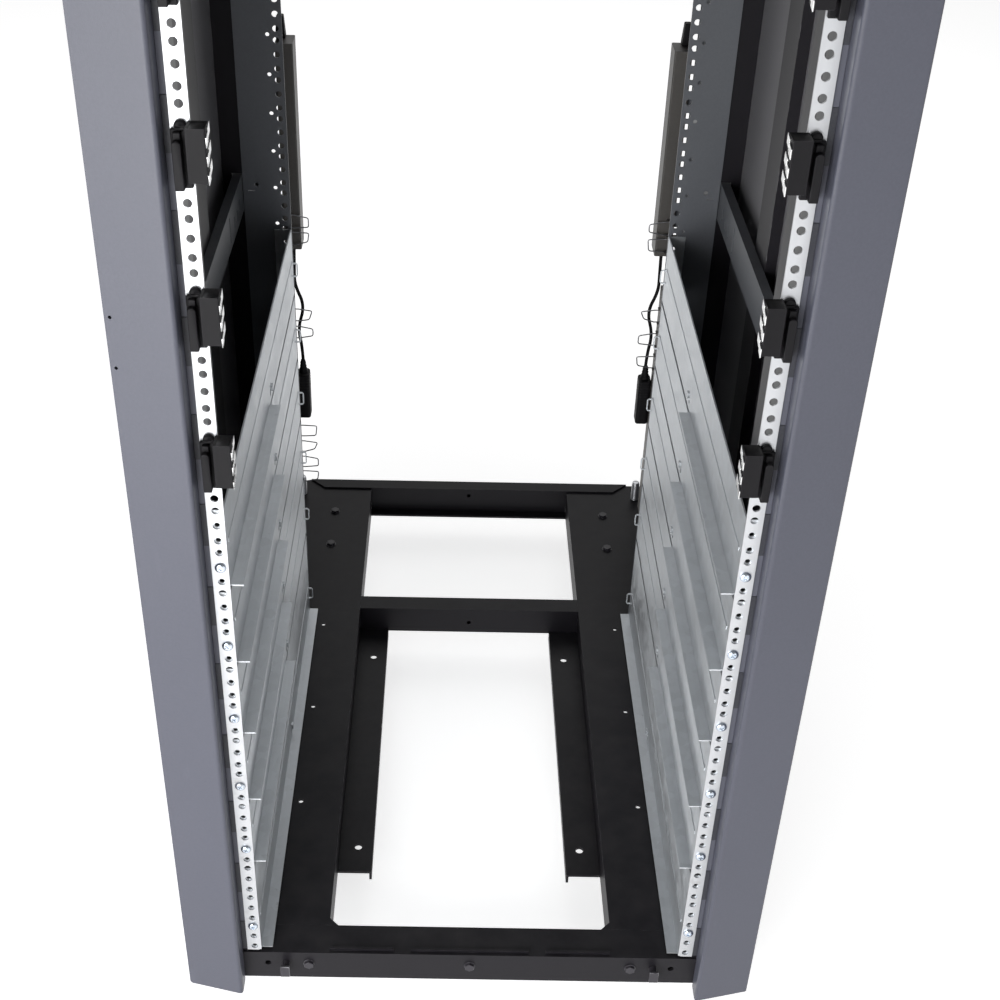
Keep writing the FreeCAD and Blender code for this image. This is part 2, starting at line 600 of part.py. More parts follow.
def power_strip(side, x0, z):
    """One power strip housing with a row of outlets in its rear face, and its bail ears."""
    housing = box((side * x0, side * (x0 + STRIP_WIDTH)), STRIP_Y, z)
    edges = [edge for edge in housing.Edges if edge.BoundBox.ZLength > 100]
    housing = housing.makeFillet(2.0, edges)
    count = int((z[1] - z[0] - 20) // 34)
    middle_x = side * (x0 + STRIP_WIDTH / 2)
    y_out = (STRIP_Y[1] - 12, STRIP_Y[1] + 1)
    tools = []
    for i in range(count):
        z_out = z[0] + 16 + i * 34
        tools.append(box((middle_x - OUTLET[0] / 2, middle_x + OUTLET[0] / 2), y_out,
                         (z_out, z_out + OUTLET[1])))
    return cut(housing, tools)


def power_strips(name, side):
    """Upper and lower power strips on one side, with a pair of mounting brackets."""
    upper = power_strip(side, UPPER_STRIP_X, UPPER_STRIP_Z)
    lower = power_strip(side, LOWER_STRIP_X, LOWER_STRIP_Z)
    for z in bail_list(side):
        if z > LOWER_STRIP_Z[1]:
            upper = fuse([upper] + ears(side, z))
        else:
            lower = fuse([lower] + ears(side, z))
    save("power_strips_" + name, [upper, lower])


def strip_brackets():
    """Angle brackets that carry the power strips from the side panels."""
    pieces = []
    for _, side in SIDES:
        for x0, z_pair in ((UPPER_STRIP_X, UPPER_STRIP_Z), (LOWER_STRIP_X, LOWER_STRIP_Z)):
            for z in (z_pair[0] + 36.0, z_pair[1] - 76.0):
                x_strip = side * (x0 + STRIP_WIDTH)
                arm = box((x_strip, side * (PANEL_HALF - PANEL_SKIN)), (715.0, 717.0), (z, z + 24.0))
                pad = box((x_strip, x_strip + side * 2.0), (715.0, 745.0), (z, z + 24.0))
                pieces.append(fuse([arm, pad]))
    save("strip_brackets", pieces)


def power_plugs():
    """Moulded plugs on the inner faces of the lower strips, and small ones on top of the upper strips."""
    pieces = []
    for _, side in SIDES:
        block = box((side * 226.0, side * LOWER_STRIP_X), (731.0, 755.0), (323.0, PLUG_TOP))
        rims = [edge for edge in block.Edges if edge.BoundBox.ZLength < 1
                and abs(edge.CenterOfMass.x) < LOWER_STRIP_X - 1]
        pieces.append(block.makeFillet(3.0, rims))
        z_top = (UPPER_STRIP_Z[1], UPPER_STRIP_Z[1] + 26.0)
        pieces.append(box((side * 236.0, side * 248.0), (726.0, 742.0), z_top))
    save("power_plugs", pieces)


def tube_along(points, radius, bends):
    """A round lead along straight runs joined by tangent arcs of the given radii."""
    edges = []
    start = points[0]
    for before, corner, after, bend in zip(points, points[1:], points[2:], bends):
        into = (corner - before).normalize()
        away = (after - corner).normalize()
        turn = into.getAngle(away)
        reach = bend * math.tan(turn / 2)
        first = corner - into * reach
        last = corner + away * reach
        bisector = (away - into).normalize()
        centre = corner + bisector * (bend / math.cos(turn / 2))
        middle = centre - bisector * bend
        edges.append(Part.makeLine(start, first))
        edges.append(Part.Arc(first, middle, last).toShape())
        start = last
    edges.append(Part.makeLine(start, points[-1]))
    path = Part.Wire(edges)
    ring = Part.Wire([Part.makeCircle(radius, points[0], (points[1] - points[0]).normalize())])
    tube = path.makePipeShell([ring], True, False)
    print("lead length", round(path.Length, 1), "volume", round(tube.Volume / (math.pi * radius ** 2), 1))
    return tube


def power_leads():
    """Leads from the upper strips down to the plugs on the lower strips."""
    pieces = []
    for _, side in SIDES:
        route = [Vector(side * 238.0, 734.0, UPPER_STRIP_Z[0]), Vector(side * 240.0, 742.0, 524.0),
                 Vector(side * 229.0, 745.0, 489.0), Vector(side * 239.5, 744.0, 456.0),
                 Vector(side * 234.0, 743.0, 425.0), Vector(side * 234.0, 743.0, PLUG_TOP)]
        pieces.append(tube_along(route, LEAD_R, (60.0, 25.0, 30.0, 80.0)))
    save("power_leads", pieces)


def bail(node, side, z):
    """One wire bail: two legs, a bridge between them and a pivot pin at each end."""
    corner = 3.0
    r = BAIL_WIRE_R
    x_tip = side * (BAIL_X - BAIL_REACH)
    x_turn = side * (BAIL_X - BAIL_REACH + corner)
    top = z + BAIL_HEIGHT
    hinge = side * BAIL_X
    diagonal = corner * (1 - math.sqrt(0.5))
    lower_mid = Vector(x_tip + side * diagonal, BAIL_Y, z + diagonal)
    upper_mid = Vector(x_tip + side * diagonal, BAIL_Y, top - diagonal)
    path = Part.Wire([
        Part.makeLine(Vector(hinge, BAIL_Y, z), Vector(x_turn, BAIL_Y, z)),
        Part.Arc(Vector(x_turn, BAIL_Y, z), lower_mid, Vector(x_tip, BAIL_Y, z + corner)).toShape(),
        Part.makeLine(Vector(x_tip, BAIL_Y, z + corner), Vector(x_tip, BAIL_Y, top - corner)),
        Part.Arc(Vector(x_tip, BAIL_Y, top - corner), upper_mid, Vector(x_turn, BAIL_Y, top)).toShape(),
        Part.makeLine(Vector(x_turn, BAIL_Y, top), Vector(hinge, BAIL_Y, top))])
    ring = Part.Wire([Part.makeCircle(r, Vector(hinge, BAIL_Y, z), Vector(-side, 0, 0))])
    wire = path.makePipeShell([ring], True, False)
    pin_length = EAR_GAP + BAIL_EAR + 2 * r
    pins = [rod((hinge, BAIL_Y, z + r - pin_length), (0, 0, 1), pin_length, r),
            rod((hinge, BAIL_Y, top - r), (0, 0, 1), pin_length, r)]
    save(node, [fuse([wire] + pins)])


def bails():
    """Every wire bail, numbered upwards on each side."""
    for name, side in SIDES:
        for number, z in enumerate(bail_list(side), start=1):
            bail("bail_" + name + "_" + str(number), side, z)


# ---- casters and levelling feet ----
def caster_bolt_places(side, end):
    """The four bolts of one caster plate."""
    y_caster = CASTER_Y[ENDS.index(end)]
    return [(side * (CASTER_X + a * CASTER_BOLT_X), y_caster + b * CASTER_BOLT_Y)
            for a in (-1, 1) for b in (-1, 1)]


def caster_mounts():
    """Fixed caster plates, each with its boss and kingpin."""
    pieces = []
    for _, side in SIDES:
        for end, y in zip(ENDS, CASTER_Y):
            x = side * CASTER_X
            plate_bottom = PLATE_TOP - PLATE_SHEET
            boss_bottom = CROWN_Z[1] + CROWN_GAP
            plate = box((x - PLATE_HALF[0], x + PLATE_HALF[0]), (y - PLATE_HALF[1], y + PLATE_HALF[1]),
                        (plate_bottom, PLATE_TOP))
            boss = rod((x, y, boss_bottom), (0, 0, 1), plate_bottom - boss_bottom, CROWN_R)
            pin = rod((x, y, KINGPIN_BOTTOM), (0, 0, 1), plate_bottom - KINGPIN_BOTTOM, KINGPIN_R)
            head = rod((x, y, KINGPIN_BOTTOM), (0, 0, 1), CROWN_Z[0] - CROWN_GAP - KINGPIN_BOTTOM, 9.0)
            holes = [rod((x_bolt, y_bolt, plate_bottom - 1), (0, 0, 1), PLATE_SHEET + 2, BOLT_HOLE_R)
                     for x_bolt, y_bolt in caster_bolt_places(side, end)]
            pieces.append(cut(fuse([plate, boss, pin, head]), holes))
    save("caster_mounts", pieces)


def caster_bolts():
    """Caster plate bolts: heads above the base at the rear, below the plate at the front."""
    pieces = []
    for _, side in SIDES:
        for x, y in caster_bolt_places(side, "rear"):
            pieces.append(hex_bolt((x, y, BASE_TOP), (0, 0, -1), 6.5, 4.0, BOLT_R, 12.0))
        for x, y in caster_bolt_places(side, "front"):
            seat = (x, y, PLATE_TOP - PLATE_SHEET)
            pieces.append(hex_bolt(seat, (0, 0, 1), 6.5, 4.0, BOLT_R, PLATE_SHEET))
    save("caster_bolts", pieces)


def caster_swivel(name, side, y):
    """Swivelling fork: crown, two legs and the axle."""
    x = side * CASTER_X
    axle_y = y + CASTER_TRAIL
    leg = 3.0
    half = WHEEL_WIDTH / 2 + FORK_GAP
    pieces = [rod((x, y, CROWN_Z[0]), (0, 0, 1), CROWN_Z[1] - CROWN_Z[0], CROWN_R),
              box((x - half - leg, x + half + leg), (y, axle_y + 8), CROWN_Z)]
    for a in (-1, 1):
        pieces.append(box((x + a * half, x + a * (half + leg)), (axle_y - 10, axle_y + 8),
                          (WHEEL_R - 7, CROWN_Z[1])))
    pieces.append(rod((x - half - leg, axle_y, WHEEL_R), (1, 0, 0), 2 * (half + leg), AXLE_R))
    bore = rod((x, y, CROWN_Z[0] - 1), (0, 0, 1), 12, KINGPIN_R + RUNNING)
    save("caster_swivel_" + name, [fuse(pieces).cut(bore)])


def caster_wheel(name, side, y):
    """Caster wheel with rounded tread edges and a bore that runs on the axle."""
    x = side * CASTER_X - WHEEL_WIDTH / 2
    axle_y = y + CASTER_TRAIL
    tread = rod((x, axle_y, WHEEL_R), (1, 0, 0), WHEEL_WIDTH, WHEEL_R)
    tread = tread.makeFillet(2.5, [edge for edge in tread.Edges if edge.BoundBox.XLength < 0.1])
    dish = 3.0
    dishes = []
    for x_dish in (x, x + WHEEL_WIDTH - dish):
        start = (x_dish, axle_y, WHEEL_R)
        dishes.append(rod(start, (1, 0, 0), dish, 19.0).cut(rod(start, (1, 0, 0), dish, 9.0)))
    bore = rod((x - 1, axle_y, WHEEL_R), (1, 0, 0), WHEEL_WIDTH + 2, AXLE_R + RUNNING)
    save("caster_wheel_" + name, [cut(tread, dishes + [bore])])


def level_foot(name, side, place):
    """Levelling foot: a stem with a hexagon, on a round pad."""
    x, y = side * place[0], place[1]
    pad_z = FOOT_CLEARANCE
    top_z = 114.0
    pad = Part.makeCone(FOOT_PAD_R, FOOT_PAD_R - 6, 8, Vector(x, y, pad_z))
    stem = rod((x, y, pad_z + 4), (0, 0, 1), top_z - pad_z - 4, FOOT_STEM_R)
    nut = hex_bolt((x, y, pad_z + 24), (0, 0, 1), 10.0, 9.0, FOOT_STEM_R, 2.0)
    neck = rod((x, y, pad_z + 8), (0, 0, 1), 7.5, 8.0)
    save("level_foot_" + name, [fuse([pad, neck, stem, nut])])


# ---- build ----
base_front_beam()
base_rear_beam()
base_mid_beam()
base_floor_brackets()
base_fasteners()
unit_strips()
rear_posts()
side_stiffeners()
side_braces()
top_frame()
roof_panel()
rail_screws()
panel_clips()
clip_springs()
strip_brackets()
power_plugs()
power_leads()
bails()
caster_mounts()
caster_bolts()
for side_name, side_sign in SIDES:
    base_side(side_name, side_sign)
    front_post(side_name, side_sign)
    front_cover(side_name, side_sign)
    side_panel(side_name, side_sign)
    front_rail(side_name, side_sign)
    rear_rail(side_name, side_sign)
    support_rails(side_name, side_sign)
    power_strips(side_name, side_sign)
    for end_name, caster_y, foot_place in zip(ENDS, CASTER_Y, FOOT_PLACES):
        corner_name = end_name + "_" + side_name
        caster_swivel(corner_name, side_sign, caster_y)
        caster_wheel(corner_name, side_sign, caster_y)
        level_foot(corner_name, side_sign, foot_place)
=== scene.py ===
"""The finish of the server rack cabinet: eased folds, moulded clips, screws, outlets, wires and paint.

Lengths are in metres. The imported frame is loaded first, and each piece is placed from its boxes.
"""
import json
import math

import bmesh
import bpy
from bpy.props import FloatProperty, FloatVectorProperty, PointerProperty
from mathutils import Matrix, Vector


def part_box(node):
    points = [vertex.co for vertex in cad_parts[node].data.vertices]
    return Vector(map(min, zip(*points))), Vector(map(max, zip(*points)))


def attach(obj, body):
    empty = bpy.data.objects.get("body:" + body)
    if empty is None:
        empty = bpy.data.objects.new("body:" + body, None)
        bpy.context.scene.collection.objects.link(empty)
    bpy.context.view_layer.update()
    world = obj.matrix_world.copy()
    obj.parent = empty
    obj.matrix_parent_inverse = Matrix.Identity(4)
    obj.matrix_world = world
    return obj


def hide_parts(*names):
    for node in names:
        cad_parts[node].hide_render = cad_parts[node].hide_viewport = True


bl_info = {
    "name": "Server Rack Cabinet",
    "version": (1, 0, 0),
    "blender": (4, 5, 0),
    "location": "View3D > Sidebar > Rack",
    "description": "Builds the finished pieces of an open server rack cabinet around its frame",
    "category": "Object",
}

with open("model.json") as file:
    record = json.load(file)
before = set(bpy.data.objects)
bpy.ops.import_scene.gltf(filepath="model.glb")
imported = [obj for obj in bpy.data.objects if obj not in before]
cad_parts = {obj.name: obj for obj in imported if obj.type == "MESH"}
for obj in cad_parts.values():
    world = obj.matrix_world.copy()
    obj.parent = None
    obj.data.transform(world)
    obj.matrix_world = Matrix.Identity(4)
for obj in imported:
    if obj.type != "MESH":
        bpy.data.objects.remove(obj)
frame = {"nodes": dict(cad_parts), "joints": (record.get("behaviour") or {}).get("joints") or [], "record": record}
NODES = frame["nodes"]
RECORD = frame["record"]
BODY_OF = {node: body for body, nodes in RECORD["behaviour"]["bodies"].items() for node in nodes}
SLOT_OF = {row["node"]: row["material_slot"] for row in RECORD["subparts"]}
SIDES = (("left", -1), ("right", 1))
CORNERS = [end + "_" + name for end in ("front", "rear") for name, _ in SIDES]

# ---- sizes read from the frame, and the standard ones ----
UNIT = 0.04445
HOLE_OFFSETS = (0.00635, 0.022225, 0.0381)
HOLE_X = 0.23255
UNIT_1_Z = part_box("front_rail_left")[0].z
RAIL_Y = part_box("front_rail_left")[0].y
REAR_RAIL_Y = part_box("rear_rail_left")[0].y
BASE_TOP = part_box("base_side_left")[1].z
SHELF_LEVELS = (0, 3, 5, 7, 9, 11)
CLIP_LEVELS = range(14, 39, 3)
SHELF_SHEET = 0.0015


# ---- what a user would change ----
def colour(name, description, default):
    """A colour setting."""
    return FloatVectorProperty(name=name, description=description, subtype="COLOR", size=3, min=0, max=1,
                               default=default)


def length(name, description, default):
    """A length setting, in metres."""
    return FloatProperty(name=name, description=description, default=default, min=0, unit="LENGTH",
                         precision=5)


class RackPaint(bpy.types.PropertyGroup):
    """Colours of the painted and moulded pieces."""

    cover: colour("Covers", "Powder coat of the corner covers and the roof", (0.072, 0.075, 0.099))
    base: colour("Base", "Black coat of the base frame and the front posts", (0.0110, 0.0100, 0.0128))
    post: colour("Posts", "Dark coat of the rear posts, braces and top frame", (0.100, 0.106, 0.118))
    panel: colour("Side panels", "Grey coat of the side panels", (0.145, 0.143, 0.152))
    strip: colour("Power strips", "Coat of the power strip housings", (0.082, 0.076, 0.070))
    moulded: colour("Mouldings", "Black plastic of the clips and plugs", (0.0060, 0.0056, 0.0068))
    marker: colour("Unit strips", "Lighter units of the marker strips", (0.085, 0.088, 0.112))


class RackMetal(bpy.types.PropertyGroup):
    """Colours of the bare and plated metals."""

    rail: colour("Rails", "Bright zinc of the front mounting rails", (0.60, 0.61, 0.63))
    galvanised: colour("Support rails", "Galvanised sheet of the support rails", (0.60, 0.625, 0.65))
    screw: colour("Screws", "Bluish zinc of the rail screws", (0.62, 0.68, 0.76))
    spring: colour("Clip springs", "Bright spring steel", (0.86, 0.86, 0.86))
    wire: colour("Bails", "Drawn wire of the bails", (0.34, 0.34, 0.36))
    caster: colour("Casters", "Zinc of the caster forks and the feet", (0.56, 0.57, 0.59))


class RackShape(bpy.types.PropertyGroup):
    """Sizes of the roundings."""

    edge: length("Sheet edges", "Width of the rounding on cut sheet edges", 0.0004)
    fold: length("Cover folds", "Width of the rounding on the covers' outer folds", 0.0022)
    mould: length("Moulded edges", "Width of the rounding on moulded pieces", 0.0011)


class RackStage(bpy.types.PropertyGroup):
    """Camera, lights and floor."""

    lens: FloatProperty(name="Lens", description="Focal length on a 36 mm sensor", default=53.52,
                        unit="CAMERA")
    sky: FloatProperty(name="Sky", description="Strength of the even surrounding light", default=0.24, min=0)
    key: FloatProperty(name="Key light", description="Power of the large front light", default=50.0, min=0,
                       unit="POWER")
    fill: FloatProperty(name="Fill light", description="Power of the light opposite the key", default=5.0,
                        min=0, unit="POWER")
    floor: colour("Floor", "Plain pale floor", (0.93, 0.93, 0.93))
    glow: FloatProperty(name="Floor glow", description="Faint light of the floor itself", default=0.75, min=0)


class RackSettings(bpy.types.PropertyGroup):
    """All the settings of the rack."""

    paint: PointerProperty(type=RackPaint)
    metal: PointerProperty(type=RackMetal)
    shape: PointerProperty(type=RackShape)
    stage: PointerProperty(type=RackStage)


def settings():
    """The scene's rack settings."""
    return bpy.context.scene.rack


# ---- shader maths ----
class Field:
    """A value inside a material that takes part in ordinary arithmetic."""

    def __init__(self, finish, socket):
        self.finish = finish
        self.socket = socket

    def _math(self, operation, first, second=0.0):
        return self.finish.node("ShaderNodeMath", {"operation": operation}, {0: first, 1: second})

    def __add__(self, other):
        return self._math("ADD", self, other)

    def __radd__(self, other):
        return self._math("ADD", other, self)

    def __sub__(self, other):
        return self._math("SUBTRACT", self, other)

    def __rsub__(self, other):
        return self._math("SUBTRACT", other, self)

    def __mul__(self, other):
        return self._math("MULTIPLY", self, other)

    def __rmul__(self, other):
        return self._math("MULTIPLY", other, self)

    def __truediv__(self, other):
        return self._math("DIVIDE", self, other)

    def __mod__(self, other):
        return self._math("FLOORED_MODULO", self, other)

    def __gt__(self, other):
        return self._math("GREATER_THAN", self, other)


class Finish:
    """A material being put together, node by node."""

    def __init__(self, name):
        self.material = bpy.data.materials.new(name)
        self.material.use_nodes = True
        self.tree = self.material.node_tree
        self.shader = self.tree.nodes["Principled BSDF"]
        self.place = self.node("ShaderNodeTexCoord", output="Object")

    def node(self, kind, choices=None, inputs=None, output=0):
        """Any node: its settings go in first, then the values or links of its sockets."""
        made = self.tree.nodes.new(kind)
        for key, value in (choices or {}).items():
            setattr(made, key, value)
        for key, value in (inputs or {}).items():
            self.feed(made.inputs[key], value)
        return Field(self, made.outputs[output])

    def feed(self, socket, value):
        """Link a field to a socket, or set the socket's own value."""
        if isinstance(value, Field):
            self.tree.links.new(value.socket, socket)
        else:
            socket.default_value = value

    def stretched(self, x, y, z):
        """The object's own coordinates, scaled apart along each axis."""
        return self.node("ShaderNodeMapping", inputs={"Vector": self.place, "Scale": (x, y, z)})

    def noise(self, scale, detail=2.0, vector=None, roughness=0.5):
        """Smooth noise from 0 to 1."""
        return self.node("ShaderNodeTexNoise", inputs={"Vector": vector or self.place, "Scale": scale,
                                                       "Detail": detail, "Roughness": roughness})

    def cells(self, scale):
        """A random value for each crystal-like cell."""
        tint = self.node("ShaderNodeTexVoronoi", inputs={"Vector": self.place, "Scale": scale},
                         output="Color")
        return self.node("ShaderNodeSeparateColor", inputs={0: tint})

    def ramp(self, value, low, high):
        """0 below low, 1 above high."""
        return self.node("ShaderNodeMapRange", {"clamp": True}, {"Value": value, "From Min": low,
                                                                 "From Max": high})

    def upward(self):
        """1 on faces that look up, 0 elsewhere."""
        normal = self.node("ShaderNodeNewGeometry", output="Normal")
        z = self.node("ShaderNodeSeparateXYZ", inputs={0: normal}, output="Z")
        return self.ramp(z, 0.75, 0.95)

    def height(self):
        """Height above the floor."""
        return self.node("ShaderNodeSeparateXYZ", inputs={0: self.place}, output="Z")

    def edge(self):
        """1 on the rounded edges of a piece."""
        return self.node("ShaderNodeAttribute", {"attribute_name": "edge"}, output="Fac")

    def mix(self, factor, first, second):
        """A colour between two colours."""
        first, second = [(*c, 1.0) if isinstance(c, tuple) and len(c) == 3 else c for c in (first, second)]
        return self.node("ShaderNodeMix", {"data_type": "RGBA"}, {0: factor, 6: first, 7: second}, 2)

    def bump(self, height, depth, strength=1.0):
        """A normal for a height from 0 to 1 that is depth metres deep."""
        return self.node("ShaderNodeBump", inputs={"Height": height, "Distance": depth,
                                                   "Strength": strength})

    def finish(self, **sockets):
        """Set the shader's sockets, named with underscores, and return the material."""
        for key, value in sockets.items():
            self.feed(self.shader.inputs[key.replace("_", " ")], value)
        return self.material


def tone(shade, factor):
    """A colour made lighter or darker."""
    return tuple(min(1.0, channel * factor) for channel in shade)


# ---- finishes ----
def powder_coat(name, shade, roughness, grain=0.00006, bare=(0.42, 0.42, 0.44), wear=0.35, dust=0.10,
                shine=0.5):
    """Baked powder coat: pebbled, slightly uneven, dusty on top and rubbed at its edges, whose lighter bare metal
    is also a painted highlight line.
    """
    coat = Finish(name)
    broad = coat.noise(2.4, 3.0)
    pebble = coat.noise(950.0, 2.0)
    speck = coat.noise(420.0, 3.0)
    body = coat.mix(broad * 0.55 + speck * 0.45, tone(shade, 0.80), tone(shade, 1.22))
    settled = coat.upward() * coat.ramp(coat.noise(26.0, 5.0), 0.35, 0.8) * dust
    body = coat.mix(settled, body, (0.42, 0.41, 0.40))
    scuffs = coat.ramp(coat.noise(1.0, 4.0, coat.stretched(38, 38, 9)), 0.68, 0.78) * 0.10
    body = coat.mix(scuffs, body, tone(shade, 2.4))
    # rubbed edges: partly wear to bare metal, partly a painted highlight line along the rounded edges
    rubbed = coat.edge() * coat.ramp(coat.noise(70.0, 4.0), 0.45, 0.62) * wear
    body = coat.mix(rubbed, body, bare)
    rough = broad * 0.12 + settled + roughness - 0.06
    return coat.finish(Base_Color=body, Roughness=rough, Metallic=rubbed, IOR=1.45,
                       Specular_IOR_Level=shine, Normal=coat.bump(pebble, grain))


def plated(name, shade, roughness, streak=(300, 300, 5), cloud=0.10, stain=(0.30, 0.27, 0.24), painted_shade_from_y=None):
    """Zinc plate or drawn metal: cloudy, finely streaked, with a few dull stains, and past a given depth painted
    near black as painted shade.
    """
    zinc = Finish(name)
    broad = zinc.noise(9.0, 4.0)
    streaks = zinc.noise(1.0, 3.0, zinc.stretched(*streak))
    fine = zinc.noise(700.0, 2.0)
    body = zinc.mix(broad * 0.5 + streaks * 0.5, tone(shade, 1 - cloud), tone(shade, 1 + cloud))
    marks = zinc.ramp(zinc.noise(45.0, 5.0), 0.66, 0.80)
    body = zinc.mix(marks * 0.28, body, stain)
    # lighter rounded edges: partly wear, partly a painted highlight along every edge
    worn_and_highlit_edges = zinc.edge() * 0.35
    body = zinc.mix(worn_and_highlit_edges, body, tone(shade, 1.12))
    # painted shade: beyond this depth in y the metal is painted near black, standing in for the shade on the
    # rail's rear flange
    if painted_shade_from_y is not None:
        depth = zinc.node("ShaderNodeSeparateXYZ", inputs={0: zinc.place}, output="Y")
        body = zinc.mix(zinc.ramp(depth, painted_shade_from_y, painted_shade_from_y + 0.003) * 0.93, body, tone(shade, 0.04))
    rough = roughness + (broad - 0.5) * 0.16 + (streaks - 0.5) * 0.14 + marks * 0.12
    return zinc.finish(Base_Color=body, Roughness=rough, Metallic=1.0 - marks * 0.25,
                       Normal=zinc.bump(fine * 0.5 + streaks * 0.5, 0.00002))


def galvanised(name, shade):
    """Hot-dipped sheet: dull silver crystals, rolling streaks and rubbed patches."""
    sheet = Finish(name)
    crystals = sheet.cells(85.0)
    broad = sheet.noise(5.0, 4.0)
    rolled = sheet.noise(1.0, 3.0, sheet.stretched(260, 3, 260))
    body = sheet.mix(crystals * 0.30 + broad * 0.35 + rolled * 0.35, tone(shade, 0.78), tone(shade, 1.22))
    spots = sheet.ramp(sheet.noise(95.0, 3.0), 0.71, 0.76)
    body = sheet.mix(spots * 0.45, body, tone(shade, 0.45))
    rubbed = sheet.ramp(sheet.noise(1.0, 4.0, sheet.stretched(12, 5, 55)), 0.62, 0.74)
    body = sheet.mix(rubbed * 0.20, body, tone(shade, 1.45))
    # painted highlight: the rounded edges are painted much lighter
    body = sheet.mix(sheet.edge() * 0.6, body, tone(shade, 1.7))
    rough = 0.40 + crystals * 0.14 + (rolled - 0.5) * 0.16 - rubbed * 0.08
    return sheet.finish(Base_Color=body, Roughness=rough, Metallic=0.88 - spots * 0.5,
                        Normal=sheet.bump(crystals * 0.3 + rolled * 0.7, 0.00004))


def moulding(name, shade, roughness=0.52, grain=0.00005):
    """Spark-textured moulded plastic with paler, handled edges."""
    plastic = Finish(name)
    texture = plastic.noise(1300.0, 2.0)
    broad = plastic.noise(30.0, 3.0)
    body = plastic.mix(broad, tone(shade, 0.82), tone(shade, 1.25))
    body = plastic.mix(plastic.edge() * plastic.ramp(plastic.noise(120.0, 3.0), 0.3, 0.6) * 0.35, body,
                       tone(shade, 3.2))
    dusty = plastic.upward() * plastic.ramp(plastic.noise(60.0, 4.0), 0.4, 0.8) * 0.14
    body = plastic.mix(dusty, body, (0.40, 0.39, 0.38))
    return plastic.finish(Base_Color=body, Roughness=broad * 0.14 + roughness - 0.07, IOR=1.46,
                          Specular_IOR_Level=0.20, Normal=plastic.bump(texture, grain))


def unit_marking(name, shade):
    """Marker strip whose units are dark and light in turn."""
    strip = Finish(name)
    turn = ((strip.height() - UNIT_1_Z) / (2 * UNIT) % 1.0) > 0.5
    speck = strip.noise(500.0, 2.0)
    body = strip.mix(turn, tone(shade, 0.20), shade)
    body = strip.mix(speck * 0.25, body, tone(shade, 1.5))
    return strip.finish(Base_Color=body, Roughness=speck * 0.2 + 0.38, Normal=strip.bump(speck, 0.00003))


def make_finishes():
    """Every finish, by the record's slot name."""
    paint, metal = settings().paint, settings().metal
    return {
        "cover_paint": powder_coat("cover_coat", tuple(paint.cover), 0.40, 0.00008),
        "roof_paint": powder_coat("roof_coat", tuple(paint.cover), 0.42, 0.00008),
        "frame_black": powder_coat("black_coat", tuple(paint.base), 0.44, 0.00005, wear=0.25, dust=0.04,
                                   shine=0.22),
        "post_grey": powder_coat("post_coat", tuple(paint.post), 0.46, 0.00005, wear=0.25),
        "rear_rail_grey": powder_coat("rear_rail_coat", tone(tuple(paint.post), 1.10), 0.40, 0.00005),
        "panel_grey": powder_coat("panel_coat", tuple(paint.panel), 0.55, 0.00005, wear=0.15),
        "strip_body": powder_coat("strip_coat", tuple(paint.strip), 0.45, 0.00004),
        "bolt_black": powder_coat("bolt_oxide", tone(tuple(paint.base), 2.4), 0.38, 0.00002, wear=0.6),
        "marker_strip": unit_marking("unit_marking", tuple(paint.marker)),
        # painted shade: the front rails' metal more than 4 mm behind their face is painted near black
        "zinc_rail": plated("rail_zinc", tuple(metal.rail), 0.42, painted_shade_from_y=RAIL_Y + 0.004),
        "galvanised": galvanised("galvanised_sheet", tuple(metal.galvanised)),
        "screw_zinc": plated("screw_zinc_finish", tuple(metal.screw), 0.22, (200, 200, 200)),
        "spring_steel": plated("spring_finish", tuple(metal.spring), 0.30, (200, 200, 200), 0.06),
        "wire_steel": plated("wire_finish", tuple(metal.wire), 0.34, (400, 400, 400)),
        "caster_zinc": plated("caster_plate", tuple(metal.caster), 0.38, (150, 150, 150)),
        "foot_zinc": plated("foot_plate", tuple(metal.caster), 0.36, (150, 150, 40)),
        "clip_black": moulding("clip_plastic", tuple(paint.moulded)),
        "plug_black": moulding("plug_plastic", tuple(paint.moulded), 0.58),
        "lead_black": moulding("lead_jacket", tone(tuple(paint.moulded), 0.9), 0.62, 0.00003),
        "wheel_nylon": moulding("wheel_plastic", tone(tuple(paint.moulded), 1.6), 0.42, 0.00003),
    }


FINISHES = {}


def coat_with(piece, slot_name):
    """Give a piece the finish of a slot."""
    piece.data.materials.clear()
    piece.data.materials.append(FINISHES[slot_name])


# ---- mesh tools ----
def hold(piece):
    """Make one object the only selected one, and the active one."""
    bpy.ops.object.select_all(action="DESELECT")
    piece.select_set(True)
    bpy.context.view_layer.objects.active = piece


class Editing:
    """Edit mode on one object, with nothing selected at the start."""

    def __init__(self, piece, kind="FACE"):
        self.piece = piece
        self.kind = kind

    def __enter__(self):
        hold(self.piece)
        bpy.ops.object.mode_set(mode="EDIT")
        bpy.ops.mesh.select_mode(type=self.kind)
        bpy.ops.mesh.select_all(action="DESELECT")
        return self

    def __exit__(self, *_):
        bpy.ops.object.mode_set(mode="OBJECT")

    def pick(self, test):
        """Select only the faces, or edges, whose middle and direction pass a test."""
        bpy.ops.mesh.select_all(action="DESELECT")
        shape = bmesh.from_edit_mesh(self.piece.data)
        if self.kind == "FACE":
            for face in shape.faces:
                face.select_set(test(face.calc_center_median(), face.normal))
        else:
            for edge in shape.edges:
                first, last = (vert.co for vert in edge.verts)
                edge.select_set(test((first + last) / 2, (last - first).normalized()))
        bmesh.update_edit_mesh(self.piece.data)


def near(value, target, tolerance=0.00005):
    """True where two lengths agree."""
    return abs(value - target) < tolerance


